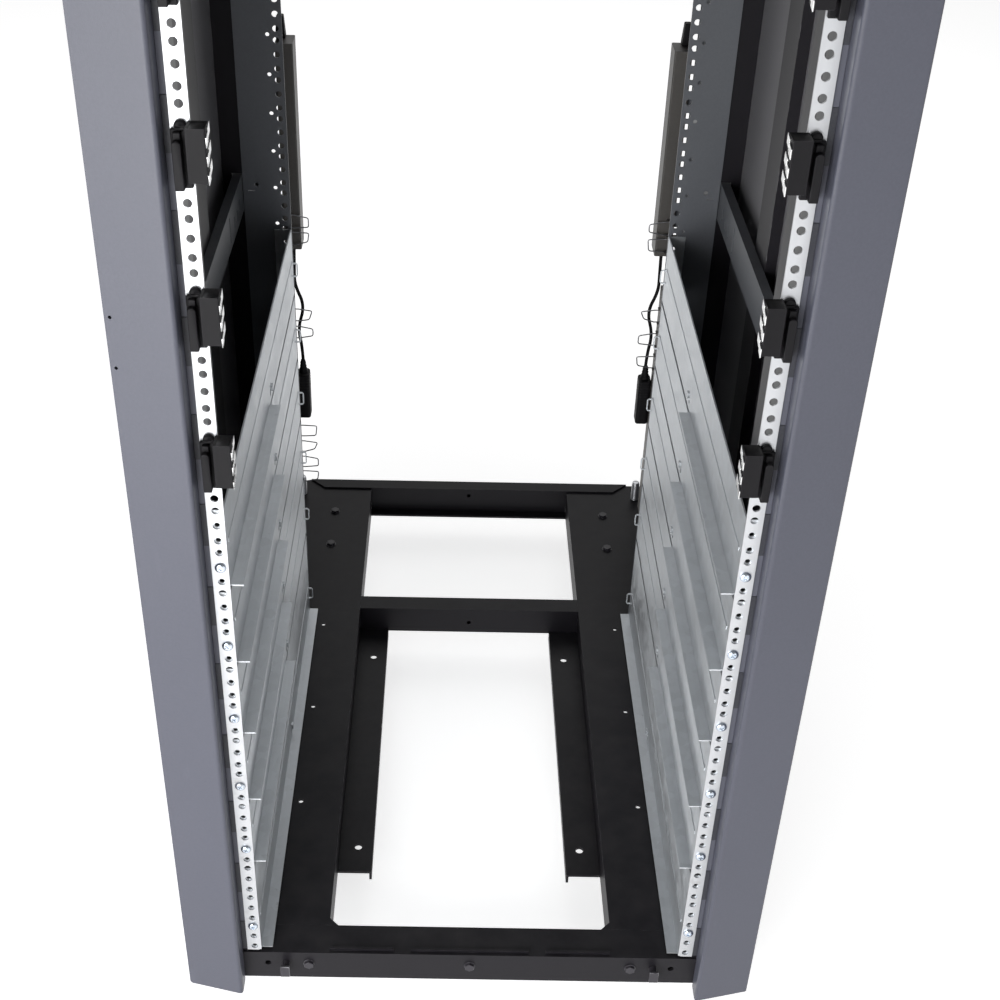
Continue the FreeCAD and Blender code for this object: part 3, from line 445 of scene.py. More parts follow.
def block(low, high):
    """A box primitive between two corners."""
    low, high = Vector(low), Vector(high)
    bpy.ops.object.select_all(action="DESELECT")
    bpy.ops.mesh.primitive_cube_add(size=1, location=(low + high) / 2, scale=high - low)
    piece = bpy.context.object
    bpy.ops.object.transform_apply(location=True, rotation=True, scale=True)
    return piece


def drum(centre, radius, depth, axis="Z", vertices=32):
    """A cylinder primitive centred on a point, along one axis."""
    turn = {"X": (0, math.pi / 2, 0), "Y": (math.pi / 2, 0, 0), "Z": (0, 0, 0)}[axis]
    bpy.ops.object.select_all(action="DESELECT")
    bpy.ops.mesh.primitive_cylinder_add(vertices=vertices, radius=radius, depth=depth, location=centre,
                                        rotation=turn)
    piece = bpy.context.object
    bpy.ops.object.transform_apply(location=True, rotation=True, scale=True)
    return piece


def lathe(profile, centre, axis="Z", steps=40):
    """A closed solid turned from a profile of radius and height points that starts and ends on its axis."""
    mesh = bpy.data.meshes.new("turned")
    points = [(radius, 0.0, height) for radius, height in profile]
    mesh.from_pydata(points, [(i, i + 1) for i in range(len(points) - 1)], [])
    piece = bpy.data.objects.new("turned", mesh)
    bpy.context.scene.collection.objects.link(piece)
    with Editing(piece, "EDGE"):
        bpy.ops.mesh.select_all(action="SELECT")
        bpy.ops.mesh.spin(steps=steps, angle=2 * math.pi, center=(0, 0, 0), axis=(0, 0, 1))
        bpy.ops.mesh.select_all(action="SELECT")
        bpy.ops.mesh.remove_doubles(threshold=0.000005)
        bpy.ops.mesh.normals_make_consistent(inside=False)
    turn = {"X": Matrix.Rotation(math.pi / 2, 4, "Y"), "Y": Matrix.Rotation(-math.pi / 2, 4, "X"),
            "Z": Matrix.Identity(4)}[axis]
    mesh.transform(Matrix.Translation(centre) @ turn)
    return piece


def join(pieces, name):
    """Several objects made into one."""
    bpy.ops.object.select_all(action="DESELECT")
    for piece in pieces:
        piece.select_set(True)
    bpy.context.view_layer.objects.active = pieces[0]
    if len(pieces) > 1:
        bpy.ops.object.join()
    pieces[0].name = name
    pieces[0].data.name = name
    return pieces[0]


def apply(piece, kind, **choices):
    """Add a modifier and apply it."""
    hold(piece)
    modifier = piece.modifiers.new(kind.title(), kind)
    for key, value in choices.items():
        setattr(modifier, key, value)
    bpy.ops.object.modifier_apply(modifier=modifier.name)


def cut(piece, tools):
    """Cut each tool's shape out of a piece, and take the tools away."""
    for tool in tools:
        apply(piece, "BOOLEAN", object=tool, operation="DIFFERENCE", solver="EXACT")
        bpy.data.objects.remove(tool)


def mark_edges(piece, index):
    """Turn the faces of one material index into the piece's edge attribute."""
    mesh = piece.data
    marked = [float(face.material_index == index) for face in mesh.polygons]
    layer = mesh.attributes.new("edge", "FLOAT", "FACE")
    layer.data.foreach_set("value", marked)
    mesh.polygons.foreach_set("material_index", [0] * len(mesh.polygons))


def ease(piece, width, segments=2, angle=40.0):
    """Round over the sharp edges, note where they are, and even out the shading."""
    mesh = piece.data
    mesh.materials.clear()
    mesh.materials.append(None)
    mesh.materials.append(None)
    apply(piece, "BEVEL", width=width, segments=segments, limit_method="ANGLE",
          angle_limit=math.radians(angle), material=1, use_clamp_overlap=True)
    mark_edges(piece, 1)
    hold(piece)
    bpy.ops.object.shade_smooth_by_angle(angle=math.radians(50))
    apply(piece, "WEIGHTED_NORMAL", keep_sharp=True)


def copied(node):
    """A joined-up copy of a CAD node's mesh, with flat regions made one face."""
    source = NODES[node]
    piece = bpy.data.objects.new(node + "_finished", source.data.copy())
    bpy.context.scene.collection.objects.link(piece)
    with Editing(piece):
        bpy.ops.mesh.select_all(action="SELECT")
        bpy.ops.mesh.customdata_custom_splitnormals_clear()
        bpy.ops.mesh.remove_doubles(threshold=0.00001)
        bpy.ops.mesh.dissolve_limited(angle_limit=math.radians(0.3))
    return piece


def settle(piece, nodes, slot_name=None, body=None):
    """Give a finished piece its material and its body, and hide the CAD nodes that it stands for."""
    slot_name = slot_name or SLOT_OF[nodes[0]]
    coat_with(piece, slot_name)
    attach(piece, body or BODY_OF[nodes[0]])
    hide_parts(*nodes)
    return piece


def eased(node, width=None, slot_name=None, shape=None):
    """The usual finish of a sheet-metal node: a copy with rounded edges in its place."""
    piece = copied(node)
    if shape:
        shape(piece)
    ease(piece, width or settings().shape.edge)
    return settle(piece, [node], slot_name)


def repeated(model, places, name):
    """Copies of a model at each place, joined into one piece."""
    copies = []
    for place in places:
        twin = bpy.data.objects.new(name, model.data.copy())
        twin.data.transform(place)
        if place.determinant() < 0:
            twin.data.flip_normals()
        bpy.context.scene.collection.objects.link(twin)
        copies.append(twin)
    bpy.data.objects.remove(model)
    return join(copies, name)


def at(x, y, z, side=1):
    """A placing matrix, mirrored across the rack's middle for the left side."""
    return Matrix.Scale(side, 4, (1, 0, 0)) @ Matrix.Translation((x, y, z))


# ---- operators ----
class RackOperator(bpy.types.Operator):
    """Shared behaviour of the rack's operators."""

    bl_options = {"REGISTER", "UNDO"}

    def execute(self, context):
        """Build the pieces, and report that it is done."""
        self.build(settings())
        return {"FINISHED"}


class RACK_OT_finishes(RackOperator):
    """Make every material of the rack"""

    bl_idname = "rack.finishes"
    bl_label = "Finishes"

    def build(self, rack):
        """Fill the shared table of finishes."""
        FINISHES.update(make_finishes())


class RACK_OT_base(RackOperator):
    """Base frame: beams, wide side members and floor brackets"""

    bl_idname = "rack.base"
    bl_label = "Base frame"

    def build(self, rack):
        """Ease each member's edges."""
        for node in ("base_front_beam", "base_rear_beam", "base_mid_beam", "base_side_left",
                     "base_side_right", "base_floor_brackets"):
            eased(node, rack.shape.edge * 1.5)


class RACK_OT_covers(RackOperator):
    """Front corner covers with generous folds"""

    bl_idname = "rack.covers"
    bl_label = "Corner covers"

    def build(self, rack):
        """Round the long outer folds first, then every other edge."""
        def fold(piece):
            low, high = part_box(piece.name.replace("_finished", ""))
            outer_x = max(abs(low.x), abs(high.x))

            def is_fold(middle, direction):
                upright = abs(direction.z) > 0.99
                at_outer = near(abs(middle.x), outer_x) and middle.y < low.y + 0.02
                return upright and (at_outer or middle.y < low.y + 0.004)

            with Editing(piece, "EDGE") as edit:
                edit.pick(is_fold)
                bpy.ops.mesh.bevel(offset=rack.shape.fold, segments=4, affect="EDGES")

        for name, _ in SIDES:
            eased("front_cover_" + name, shape=fold)


class RACK_OT_posts(RackOperator):
    """Corner posts, stiffeners, braces, top frame and roof"""

    bl_idname = "rack.posts"
    bl_label = "Posts and roof"

    def build(self, rack):
        """Ease each member's edges."""
        for node in ("front_post_left", "front_post_right", "rear_posts", "side_stiffeners",
                     "side_braces", "top_frame", "strip_brackets"):
            eased(node)
        eased("roof_panel", rack.shape.edge * 1.6)


class RACK_OT_panels(RackOperator):
    """Side panels"""

    bl_idname = "rack.panels"
    bl_label = "Side panels"

    def build(self, rack):
        """Ease the hemmed edges."""
        for name, _ in SIDES:
            eased("side_panel_" + name, rack.shape.edge * 1.2)


class RACK_OT_rails(RackOperator):
    """Front and rear mounting rails, and the marker strips"""

    bl_idname = "rack.rails"
    bl_label = "Mounting rails"

    def build(self, rack):
        """Ease the rails and their holes."""
        for name, _ in SIDES:
            eased("front_rail_" + name, rack.shape.edge * 0.8)
            eased("rear_rail_" + name, rack.shape.edge * 0.8)
        eased("unit_strips", 0.0001)


class RACK_OT_support_rails(RackOperator):
    """Galvanised support rails that carry the equipment"""

    bl_idname = "rack.support_rails"
    bl_label = "Support rails"

    def build(self, rack):
        """Ease the rails' folds and cut edges."""
        for name, _ in SIDES:
            eased("support_rails_" + name, rack.shape.edge * 0.9)


class RACK_OT_screws(RackOperator):
    """Cross-recessed pan-head screws on the support rails"""

    bl_idname = "rack.screws"
    bl_label = "Rail screws"

    def build(self, rack):
        """Turn one screw, cut its recess, and copy it to every place."""
        head_r, head, shank_r = 0.0052, 0.0028, 0.003
        profile = [(0, 0.009), (shank_r * 0.8, 0.009), (shank_r, 0.008), (shank_r, 0.0), (head_r, 0.0),
                   (head_r, -0.0006), (head_r - 0.0002, -0.0013), (head_r - 0.0009, -0.0021),
                   (head_r - 0.0019, -0.0026), (head_r - 0.003, -head), (0, -head)]
        screw = lathe(profile, (0, 0, 0), "Y", 28)
        arms = [block((-a, -head - 0.001, -b), (a, -head + 0.0013, b))
                for a, b in ((0.0023, 0.00055), (0.00055, 0.0023))]
        cut(screw, arms)
        ease(screw, 0.00015, 1, 55.0)
        places = []
        for _, side in SIDES:
            for level in SHELF_LEVELS:
                low = UNIT_1_Z + level * UNIT
                offset = HOLE_OFFSETS[2] if level == 0 else HOLE_OFFSETS[1]
                turn = Matrix.Rotation(0.7 * level + side, 4, "Y")
                places.append(at(HOLE_X, RAIL_Y, low + offset, side) @ turn)
                places.append(at(HOLE_X, REAR_RAIL_Y - SHELF_SHEET, low + HOLE_OFFSETS[2], side) @ turn)
        settle(repeated(screw, places, "rail_screws_finished"), ["rail_screws"])


def hex_head(radius, height, shank_r, shank):
    """A chamfered hexagon head on a shank; the head is below zero and the shank above, along +Z."""
    head = drum((0, 0, -height / 2), radius, height, vertices=6)
    with Editing(head) as edit:
        edit.pick(lambda middle, normal: normal.z < -0.9)
        bpy.ops.mesh.inset(thickness=radius * 0.12, depth=0)
        bpy.ops.transform.translate(value=(0, 0, -height * 0.10))
    washer = drum((0, 0, -0.0004), radius * 1.12, 0.0008)
    stud = drum((0, 0, shank / 2), shank_r, shank)
    return join([head, washer, stud], "hex_bolt")


class RACK_OT_bolts(RackOperator):
    """Hexagon bolts and keeper hooks of the base"""

    bl_idname = "rack.bolts"
    bl_label = "Base and caster bolts"

    BOLT_X, HOOK_X, SHANK_R = (-0.175, 0.0, 0.175), 0.2, 0.0039
    CASTER_BOLT_X, CASTER_BOLT_Y = 0.035, 0.044
    TOP_AND_PLATE = 0.007

    def build(self, rack):
        """Copy one bolt to each place; the two hooks are a pin with a plate."""
        low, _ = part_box("base_front_beam")
        fastener_low, fastener_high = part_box("base_fasteners")
        z = (fastener_low.z + fastener_high.z) / 2 + 0.001
        bolt = hex_head(0.0055, 0.0035, self.SHANK_R, 0.012)
        ease(bolt, 0.0003)
        face = Matrix.Rotation(-math.pi / 2, 4, "X")
        places = [at(x, low.y, z) @ face for x in self.BOLT_X]
        pieces = [repeated(bolt, places, "base_bolts")]
        for _, side in SIDES:
            x = side * self.HOOK_X
            pin = drum((x, low.y + 0.001, z), self.SHANK_R, 0.02, "Y")
            plate = block((x - 0.005, low.y - 0.012, z - 0.009), (x + 0.005, low.y - 0.009, z + 0.007))
            hook = join([pin, plate], "hook")
            ease(hook, 0.0007, 3)
            pieces.append(hook)
        settle(join(pieces, "base_fasteners_finished"), ["base_fasteners"])
        self.casters()

    def casters(self):
        """The bolts of the caster plates."""
        bolt = hex_head(0.0065, 0.004, self.SHANK_R, 0.004)
        ease(bolt, 0.0003)
        down = Matrix.Rotation(math.pi, 4, "X")
        plate_bottom = BASE_TOP - self.TOP_AND_PLATE
        places = []
        for name, side in SIDES:
            for end in ("front", "rear"):
                joint = swivel_place(end + "_" + name)
                for x in (-self.CASTER_BOLT_X, self.CASTER_BOLT_X):
                    for y in (-self.CASTER_BOLT_Y, self.CASTER_BOLT_Y):
                        if end == "rear":
                            places.append(at(joint.x + x, joint.y + y, BASE_TOP) @ down)
                        else:
                            places.append(at(joint.x + x, joint.y + y, plate_bottom))
        settle(repeated(bolt, places, "caster_bolts_finished"), ["caster_bolts"])


def swivel_place(corner):
    """Where a caster's kingpin is, from its joint."""
    for joint in frame["joints"]:
        if joint["name"] == "caster_swivel_" + corner:
            return Vector(joint["pos_m"])
    raise ValueError(corner)


class RACK_OT_clips(RackOperator):
    """Moulded filler-panel clips with their bright spring plates"""

    bl_idname = "rack.clips"
    bl_label = "Panel clips"

    # boxes of the right-hand clip, from the rail's face and the lower line of its unit
    BODY = ((0.212, -0.019, -0.0155), (0.227, -0.001, 0.0265))
    PLATE = ((0.2262, -0.004, -0.025), (0.2402, 0.0, 0.0204))
    RIB = ((0.2314, -0.013, -0.024), (0.2386, -0.004, 0.014))
    NECK = ((0.232, -0.008, 0.008), (0.238, -0.0035, 0.019))
    PEG_R, PEG_LENGTH = 0.0033, 0.006
    SLOT_HALF_WIDTH, SLOT_HALF_HEIGHT = 0.0034, 0.0005
    # the spring's leaves: their sheet in x, their two columns in y, and their steps in z
    LEAF_X = (0.2112, 0.2120)
    LEAF_TOP, LEAF_PITCH, LEAF_HEIGHT, LEAF_LEAN = 0.0262, 0.0142, 0.0098, 0.0022
    COLUMNS = ((-0.0100, -0.0012, 0.0), (-0.0188, -0.0108, 0.0046))
    LINK_Y, LINK_HEIGHT, LINK_DROP = (-0.0118, -0.0092), 0.0018, 0.0085

    def build(self, rack):
        """Model one clip and one spring, and copy them up both rails."""
        places = [at(0, RAIL_Y, UNIT_1_Z + level * UNIT, side) for _, side in SIDES for level in CLIP_LEVELS]
        clip = self.clip(rack.shape.mould)
        settle(repeated(clip, places, "panel_clips_finished"), ["panel_clips"])
        spring = self.spring()
        settle(repeated(spring, places, "clip_springs_finished"), ["clip_springs"])

    def clip(self, rounding):
        """Body with a sunk front, back plate, thumb rib with a rounded top, neck, knob and peg."""
        body, plate, rib, neck = [block(*box) for box in (self.BODY, self.PLATE, self.RIB, self.NECK)]
        with Editing(body) as edit:
            edit.pick(lambda middle, normal: normal.y < -0.9)
            bpy.ops.mesh.inset(thickness=0.0018, depth=-0.0005)
        with Editing(body) as edit:
            edit.pick(lambda middle, normal: normal.z > 0.9)
            bpy.ops.mesh.inset(thickness=0.0020, depth=-0.0012)
        with Editing(rib, "EDGE") as edit:
            edit.pick(lambda middle, direction: near(middle.z, self.RIB[1][2]) and abs(direction.y) > 0.9)
            bpy.ops.mesh.bevel(offset=0.003, segments=4, affect="EDGES")
        for part in (body, plate, neck, rib):
            ease(part, rounding * 0.8)
        peg = drum((HOLE_X, self.PEG_LENGTH / 2, HOLE_OFFSETS[1]), self.PEG_R, self.PEG_LENGTH, "Y", 20)
        ease(peg, 0.0005)
        return join([body, plate, neck, rib, self.knob(), peg], "clip")

    def knob(self):
        """The turned knob of a clip, with a slot across its face."""
        profile = [(0, -0.004), (0.0039, -0.004), (0.0045, -0.0036), (0.0047, -0.0028), (0.0047, -0.0002),
                   (0, -0.0002)]
        knob = lathe(profile, (HOLE_X, 0, HOLE_OFFSETS[1]), "Y")
        slot = block((HOLE_X - self.SLOT_HALF_WIDTH, -0.005, HOLE_OFFSETS[1] - self.SLOT_HALF_HEIGHT),
                     (HOLE_X + self.SLOT_HALF_WIDTH, -0.003, HOLE_OFFSETS[1] + self.SLOT_HALF_HEIGHT))
        cut(knob, [slot])
        ease(knob, 0.0002, 1, 55.0)
        return knob

    def spring(self):
        """Bright leaves in two staggered columns, joined by slanted links."""
        leaves = []
        for front, back, drop in self.COLUMNS:
            for i in range(3):
                top = self.LEAF_TOP - drop - self.LEAF_PITCH * i
                low = top - self.LEAF_HEIGHT + self.LEAF_LEAN
                leaves.append(self.leaf(front, back, low, top, self.LEAF_LEAN))
        for i in range(4):
            top = self.LEAF_TOP - self.LINK_DROP - self.LEAF_PITCH / 2 * i
            leaves.append(self.leaf(*self.LINK_Y, top - self.LINK_HEIGHT, top, self.LEAF_LEAN * 0.4))
        return join(leaves, "spring")

    def leaf(self, front, back, low, high, lean):
        """One leaf of a spring, its front end lower than its back end."""
        leaf = block((self.LEAF_X[0], front, low), (self.LEAF_X[1], back, high))
        with Editing(leaf) as edit:
            edit.pick(lambda middle, normal: normal.y < -0.9)
            bpy.ops.transform.translate(value=(0, 0, -lean))
        ease(leaf, 0.00012, 1)
        return leaf


class RACK_OT_power_strips(RackOperator):
    """Power strip housings with recessed outlets"""

    bl_idname = "rack.power_strips"
    bl_label = "Power strips"

    RECESS, HALF_X, HALF_Z = 0.012, 0.0062, 0.0102
    PIN_SLOTS = ((0.0012, -0.0064), (0.0012, 0.0064), (-0.0020, 0.0))

    def build(self, rack):
        """Ease the housings, and set a shuttered insert in every outlet recess."""
        for name, side in SIDES:
            node = "power_strips_" + name
            piece = eased(node, rack.shape.edge * 1.4)
            self.outlets(piece, node, name, side)

    def outlets(self, piece, node, name, side):
        """Find the recess floors on the housings' rear faces and set an insert on each."""
        _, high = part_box(node)
        floor_y = high.y - self.RECESS
        centres = [face.center.copy() for face in piece.data.polygons
                   if face.normal.y > 0.99 and near(face.center.y, floor_y, 0.0002) and face.area > 0.0002]
        insert = block((-self.HALF_X, 0.0, -self.HALF_Z), (self.HALF_X, 0.0085, self.HALF_Z))
        ease(insert, 0.0016, 3)
        slots = [block((x - 0.0028, 0.004, z - 0.0009), (x + 0.0028, 0.02, z + 0.0009))
                 for x, z in self.PIN_SLOTS]
        cut(insert, slots)
        places = [Matrix.Translation((centre.x, floor_y, centre.z)) for centre in centres]
        made = repeated(insert, places, "outlets_" + name)
        coat_with(made, "plug_black")
        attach(made, BODY_OF[node])


class RACK_OT_plugs(RackOperator):
    """Inline plugs, their strain reliefs and their leads"""

    bl_idname = "rack.plugs"
    bl_label = "Plugs and leads"

    PLUG_X, PLUG_HALF_X, PLUG_HALF_Y = 0.2345, 0.0085, 0.012
    SMALL_HALF_X, SMALL_DEPTH, SMALL_HEIGHT = 0.006, 0.016, 0.026
    GRIP_PITCH, GRIP_HEIGHT, GRIP_PROUD = 0.0042, 0.0022, 0.0002
    LEAD_R = 0.0022
    LEAD_TOP, LEAD_END = (0.238, 0.275), (0.234, 0.284)
    LEAD_ROUTE = ((0.240, 0.281, 0.545), (0.241, 0.284, 0.520), (0.229, 0.286, 0.489),
                  (0.2395, 0.285, 0.456), (0.234, 0.284, 0.425))

    def build(self, rack):
        """Plug bodies with grip grooves, tapered strain reliefs and a smooth lead on each side."""
        low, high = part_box("power_plugs")
        lead_low, lead_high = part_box("power_leads")
        plugs, leads = [], []
        for _, side in SIDES:
            plugs += self.plug(side, high.y - self.PLUG_HALF_Y, low.z, lead_low.z)
            plugs.append(self.small_plug(side * (high.x - self.SMALL_HALF_X), low.y, high.z))
            leads.append(self.lead(side, lead_low.z, lead_high.z))
        settle(join(plugs, "power_plugs_finished"), ["power_plugs"])
        settle(join(leads, "power_leads_finished"), ["power_leads"])

    def small_plug(self, x, front, top):
        """The small plug on top of an upper strip, narrower at its top."""
        small = block((x - self.SMALL_HALF_X, front, top - self.SMALL_HEIGHT),
                      (x + self.SMALL_HALF_X, front + self.SMALL_DEPTH, top))
        with Editing(small) as edit:
            edit.pick(lambda middle, normal: normal.z > 0.9)
            middle = (x, front + self.SMALL_DEPTH / 2, top)
            bpy.ops.transform.resize(value=(0.7, 0.7, 1), center_override=middle)
        ease(small, 0.0015, 3)
        return small

    def plug(self, side, y, bottom, top):
        """One moulded plug: a body that narrows below, grip rings and a ribbed strain relief."""
        x, half_x, half_y = side * self.PLUG_X, self.PLUG_HALF_X, self.PLUG_HALF_Y
        body = block((x - half_x, y - half_y, bottom), (x + half_x, y + half_y, top))
        with Editing(body) as edit:
            edit.pick(lambda middle, normal: normal.z < -0.9)
            bpy.ops.mesh.extrude_region_move(TRANSFORM_OT_translate={"value": (0, 0, 0)})
            bpy.ops.transform.resize(value=(0.72, 0.72, 1), center_override=(x, y, bottom))
        self.round_upright(body)
        ease(body, 0.0022, 3)
        parts = [body]
        half_x, half_y = half_x + self.GRIP_PROUD, half_y + self.GRIP_PROUD
        for i in range(5):
            z = top - 0.024 + self.GRIP_PITCH * i
            ring = block((x - half_x, y - half_y, z), (x + half_x, y + half_y, z + self.GRIP_HEIGHT))
            self.round_upright(ring)
            ease(ring, 0.0008, 2)
            parts.append(ring)
        relief = [(0, -0.001), (0.0062, -0.001), (0.0058, 0.003), (0.0046, 0.004), (0.0052, 0.006),
                  (0.0042, 0.008), (0.0047, 0.010), (0.0037, 0.012), (0.0041, 0.014), (0.0028, 0.019),
                  (0, 0.019)]
        parts.append(lathe([(r, top + z) for r, z in relief], (x, y, 0)))
        ease(parts[-1], 0.0002, 1, 55.0)
        return parts

    def round_upright(self, piece):
        """Round over the upright edges."""
        with Editing(piece, "EDGE") as edit:
            edit.pick(lambda middle, direction: abs(direction.z) > 0.99)
            bpy.ops.mesh.bevel(offset=0.0045, segments=4, affect="EDGES")

    def lead(self, side, bottom, top):
        """One lead, from under the upper strip to the plug below, on a smooth curve."""
        route = [(*self.LEAD_TOP, top), *self.LEAD_ROUTE, (*self.LEAD_END, bottom)]
        piece = wire("lead", [(side * x, y, z) for x, y, z in route], self.LEAD_R, "NURBS")
        bpy.ops.object.shade_smooth()
        return piece


class RACK_OT_bails(RackOperator):
    """Wire bails on the power strips"""

    bl_idname = "rack.bails"
    bl_label = "Wire bails"

    WIRE_R, CORNER, HINGE_X = 0.0008, 0.003, 0.241
    PIN_END, STRAIGHT = 0.0019, 0.008
    # how far the lower corner rises, the upper one drops, and the lower one is drawn in
    SKEWS = (0.0010, 0.0034, 0.0019, 0.0043)
    PINCHES = (0.0026, 0.0008, 0.0036)
    DRAWS = (0.0, 0.0042, 0.0018)

    def build(self, rack):
        """Bend one wire for each bail node, with its pivot ends."""
        for node in sorted(NODES):
            if node.startswith("bail_"):
                self.bail(node)

    def bail(self, node):
        """A hand-bent wire loop from pivot to pivot, each a little out of square in its own way."""
        low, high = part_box(node)
        side = 1 if low.x > 0 else -1
        radius, corner = self.WIRE_R, self.CORNER
        y = (low.y + high.y) / 2
        hinge = side * self.HINGE_X
        tip = low.x + radius if side > 0 else high.x - radius
        z0, z1 = low.z + self.PIN_END + radius, high.z - self.PIN_END - radius
        number = int(node.rsplit("_", 1)[1])
        skew = self.SKEWS[number % len(self.SKEWS)]
        pinch = self.PINCHES[number % len(self.PINCHES)]
        draw = self.DRAWS[(number + 1) % len(self.DRAWS)]
        ends = [(hinge, low.z), (hinge, z0 - radius), (hinge - side * radius, z0)]
        first = (tip + side * draw, z0 + skew)
        last = (tip, z1 - pinch)
        before, after = (hinge - side * self.STRAIGHT, z0), (hinge - side * self.STRAIGHT, z1)
        lower = rounded(before, first, last, corner)
        upper = rounded(first, last, after, corner)
        finish = [(hinge - side * radius, z1), (hinge, z1 + radius), (hinge, high.z)]
        points = ends + [before] + lower + upper + [after] + finish
        piece = wire(node + "_finished", [(x, y, z) for x, z in points], radius, "POLY")
        bpy.ops.object.shade_smooth()
        settle(piece, [node])


def rounded(before, corner, after, radius, steps=6):
    """Points of a rounded bend at a corner between two others."""
    corner = Vector(corner)
    first = corner + (Vector(before) - corner).normalized() * radius
    last = corner + (Vector(after) - corner).normalized() * radius
    points = []
    for step in range(steps + 1):
        t = step / steps
        points.append(tuple(first * (1 - t) ** 2 + corner * 2 * t * (1 - t) + last * t ** 2))
    return points


def wire(name, points, radius, kind):
    """A round wire or lead along points, as a mesh."""
    data = bpy.data.curves.new(name, "CURVE")
    data.dimensions = "3D"
    data.bevel_depth = radius
    data.bevel_resolution = 3
    data.use_fill_caps = True
    spline = data.splines.new(kind)
    spline.points.add(len(points) - 1)
    for point, place in zip(spline.points, points):
        point.co = (*place, 1)
    if kind == "NURBS":
        spline.use_endpoint_u = True
        spline.order_u = 3
        spline.resolution_u = 12
    piece = bpy.data.objects.new(name, data)
    bpy.context.scene.collection.objects.link(piece)
    hold(piece)
    bpy.ops.object.convert(target="MESH")
    return bpy.context.object


class RACK_OT_casters(RackOperator):
    """Swivelling casters and their fixed plates"""

    bl_idname = "rack.casters"
    bl_label = "Casters"

    def build(self, rack):
        """Ease the plates and forks, and turn the wheels."""
        eased("caster_mounts", rack.shape.edge * 1.2)
        for corner in CORNERS:
            eased("caster_swivel_" + corner, rack.shape.edge * 1.5)
            self.wheel("caster_wheel_" + corner)

    def wheel(self, node):
        """A wheel turned from its section, with a tread, a web and a hub."""
        low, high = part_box(node)
        centre = (low + high) / 2
        half = (high.x - low.x) / 2
        radius = (high.z - low.z) / 2
        bore, hub, rim, dish = 0.00406, 0.0094, 0.0184, 0.003
        section = [(bore, half), (hub - 0.0006, half), (hub - 0.0002, half - 0.0004), (hub, half - dish),
                   (rim, half - dish), (rim + 0.0004, half - 0.0008), (rim + 0.0012, half),
                   (radius - 0.003, half), (radius - 0.0012, half - 0.0007),
                   (radius - 0.0003, half - 0.0022), (radius, half - 0.004)]
        profile = section + [(r, -h) for r, h in reversed(section)] + [section[0]]
        piece = lathe(profile, centre, "X", 64)
        ease(piece, 0.0002, 1, 60.0)
        piece.name = node + "_finished"
        settle(piece, [node])


class RACK_OT_feet(RackOperator):
    """Levelling feet with threaded stems"""

    bl_idname = "rack.feet"
    bl_label = "Levelling feet"

    STEM_R, PITCH, CUT, THREAD_START = 0.006, 0.00175, 0.0007, 0.026
    PAD_R, NECK_R = 0.022, 0.008
    NUT_R, NUT_HEIGHT, NUT_LEVEL = 0.010, 0.009, 0.0195

    def build(self, rack):
        """Turn each foot from its section, and add its hexagon."""
        for corner in CORNERS:
            node = "level_foot_" + corner
            low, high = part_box(node)
            middle = (low + high) / 2
            stem = lathe(self.section(low.z, high.z), (middle.x, middle.y, 0), "Z", 32)
            ease(stem, 0.0001, 1, 75.0)
            nut = drum((middle.x, middle.y, low.z + self.NUT_LEVEL), self.NUT_R, self.NUT_HEIGHT, vertices=6)
            ease(nut, 0.0008, 3)
            settle(join([stem, nut], node + "_finished"), [node])

    def section(self, bottom, top):
        """The turned outline of a foot: a dished pad, a neck and a stem with thread grooves."""
        stem_r, root_r, pad_r, neck_r = self.STEM_R, self.STEM_R - self.CUT, self.PAD_R, self.NECK_R
        outline = [(0, bottom), (pad_r - 0.002, bottom), (pad_r - 0.0004, bottom + 0.0008),
                   (pad_r, bottom + 0.002), (neck_r * 2 + 0.0006, bottom + 0.0078),
                   (neck_r * 2, bottom + 0.0080), (neck_r, bottom + 0.0082), (neck_r, bottom + 0.0155),
                   (root_r, bottom + 0.0158)]
        z = bottom + self.THREAD_START
        outline.append((root_r, z))
        while z + self.PITCH < top - 0.002:
            outline += [(stem_r, z + self.PITCH / 2), (root_r, z + self.PITCH)]
            z += self.PITCH
        return outline + [(root_r, top - 0.0006), (stem_r - 0.0014, top), (0, top)]


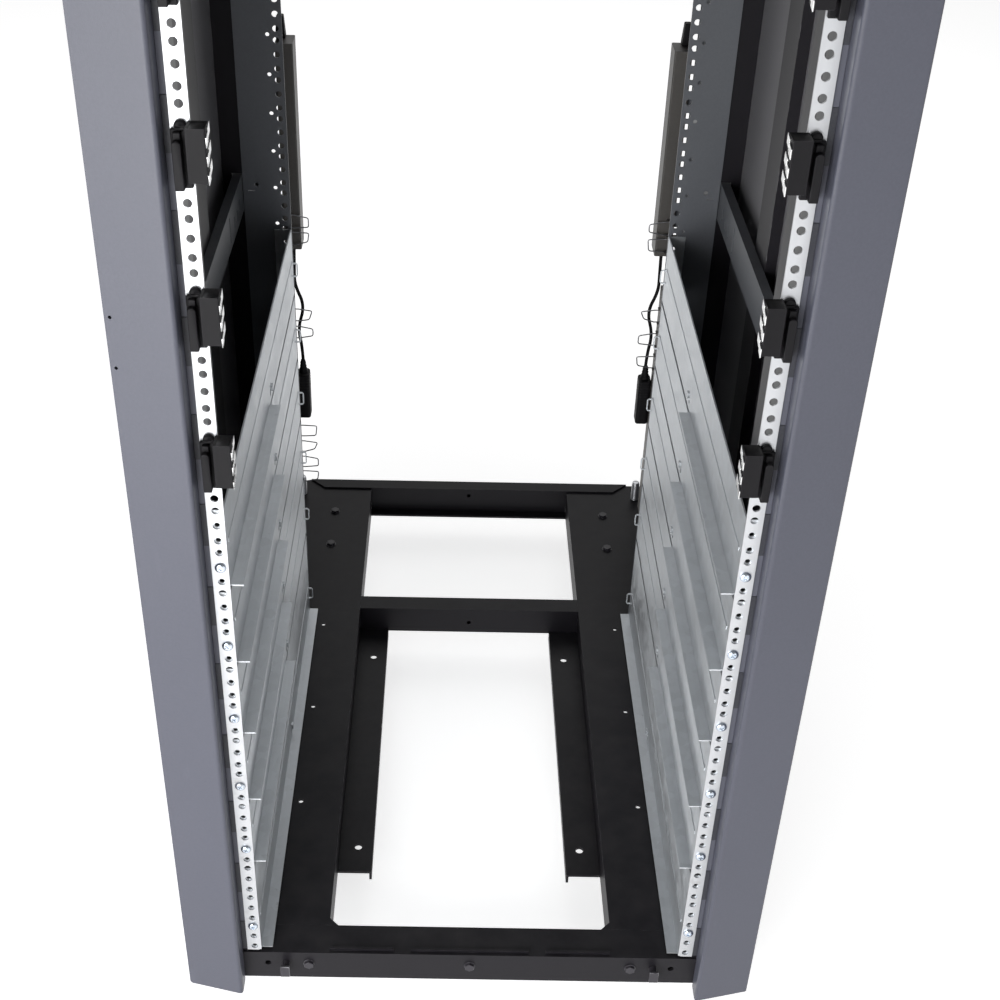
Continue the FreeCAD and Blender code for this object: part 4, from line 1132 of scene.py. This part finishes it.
class RACK_OT_stage(RackOperator):
    """Floor, lights and camera"""

    bl_idname = "rack.stage"
    bl_label = "Stage"

    CAMERA_PLACE = (-0.03154, -1.52109, 1.37646)
    CAMERA_RIGHT, CAMERA_UP = (0.99983, 0.00526, 0.01822), (-0.01794, 0.57363, 0.81885)
    SHIFT = (0.0426, 0.040)

    def build(self, rack):
        """A pale floor, an even sky, three soft lights and the camera."""
        stage = rack.stage
        bpy.ops.object.select_all(action="DESELECT")
        bpy.ops.mesh.primitive_plane_add(size=40, location=(0, 0, 0))
        floor = bpy.context.object
        floor.name = "floor"
        matt = Finish("floor_matt")
        floor.data.materials.append(matt.finish(Base_Color=(*stage.floor, 1.0), Roughness=0.9,
                                                Emission_Color=(*stage.floor, 1.0),
                                                Emission_Strength=stage.glow))
        world = bpy.data.worlds.new("studio")
        world.use_nodes = True
        sky = world.node_tree.nodes["Background"]
        sky.inputs["Color"].default_value = (1.0, 1.0, 1.0, 1.0)
        sky.inputs["Strength"].default_value = stage.sky
        bpy.context.scene.world = world
        self.light("key", (-1.05, -2.1, 0.60), (0.1, -0.2, 0.0), 1.5, stage.key)
        self.light("fill", (1.6, -2.2, 0.8), (0.1, -0.3, 0.0), 1.4, stage.fill)
        self.light("back", (0.2, 2.6, 2.4), (0.0, 0.2, 0.4), 2.2, stage.key / 3)
        bpy.context.scene.view_settings.view_transform = "Standard"
        self.camera(stage.lens)

    def light(self, name, place, target, size, power):
        """A square soft light aimed at a point."""
        data = bpy.data.lights.new(name, "AREA")
        data.size = size
        data.energy = power
        lamp = bpy.data.objects.new(name, data)
        lamp.location = place
        lamp.rotation_euler = (Vector(target) - Vector(place)).to_track_quat("-Z", "Y").to_euler()
        bpy.context.scene.collection.objects.link(lamp)

    def camera(self, lens):
        """The camera, just inside head height and looking steeply down into the rack."""
        data = bpy.data.cameras.new("camera")
        data.lens = lens
        data.sensor_width = 36.0
        data.shift_x, data.shift_y = self.SHIFT
        right, up = Vector(self.CAMERA_RIGHT), Vector(self.CAMERA_UP)
        turn = Matrix((right, up, right.cross(up))).transposed().to_4x4()
        camera = bpy.data.objects.new("camera", data)
        camera.matrix_world = Matrix.Translation(self.CAMERA_PLACE) @ turn
        bpy.context.scene.collection.objects.link(camera)
        bpy.context.scene.camera = camera


class RACK_PT_pieces(bpy.types.Panel):
    """Lists the rack's operators and settings in the sidebar"""

    bl_idname = "RACK_PT_pieces"
    bl_label = "Server Rack"
    bl_space_type = "VIEW_3D"
    bl_region_type = "UI"
    bl_category = "Rack"

    def draw(self, context):
        """One button for each operator, and the settings below."""
        for operator in OPERATORS:
            self.layout.operator(operator.bl_idname)
        rack = context.scene.rack
        for group in (rack.paint, rack.metal, rack.shape, rack.stage):
            box = self.layout.box()
            for key in group.bl_rna.properties.keys():
                if key not in ("rna_type", "name"):
                    box.prop(group, key)


GROUPS = (RackPaint, RackMetal, RackShape, RackStage, RackSettings)
OPERATORS = (RACK_OT_finishes, RACK_OT_stage, RACK_OT_base, RACK_OT_covers, RACK_OT_posts, RACK_OT_panels,
             RACK_OT_rails, RACK_OT_support_rails, RACK_OT_screws, RACK_OT_bolts, RACK_OT_clips,
             RACK_OT_power_strips, RACK_OT_plugs, RACK_OT_bails, RACK_OT_casters, RACK_OT_feet)


def register():
    """Register the settings, operators and panel."""
    for kind in GROUPS + OPERATORS + (RACK_PT_pieces,):
        bpy.utils.register_class(kind)
    bpy.types.Scene.rack = PointerProperty(type=RackSettings)


def unregister():
    """Take everything off again."""
    del bpy.types.Scene.rack
    for kind in reversed(GROUPS + OPERATORS + (RACK_PT_pieces,)):
        bpy.utils.unregister_class(kind)


def main():
    """Build every piece in order."""
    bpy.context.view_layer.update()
    register()
    for operator in OPERATORS:
        group, name = operator.bl_idname.split(".")
        getattr(getattr(bpy.ops, group), name)()


if __name__ == "__main__":
    main()
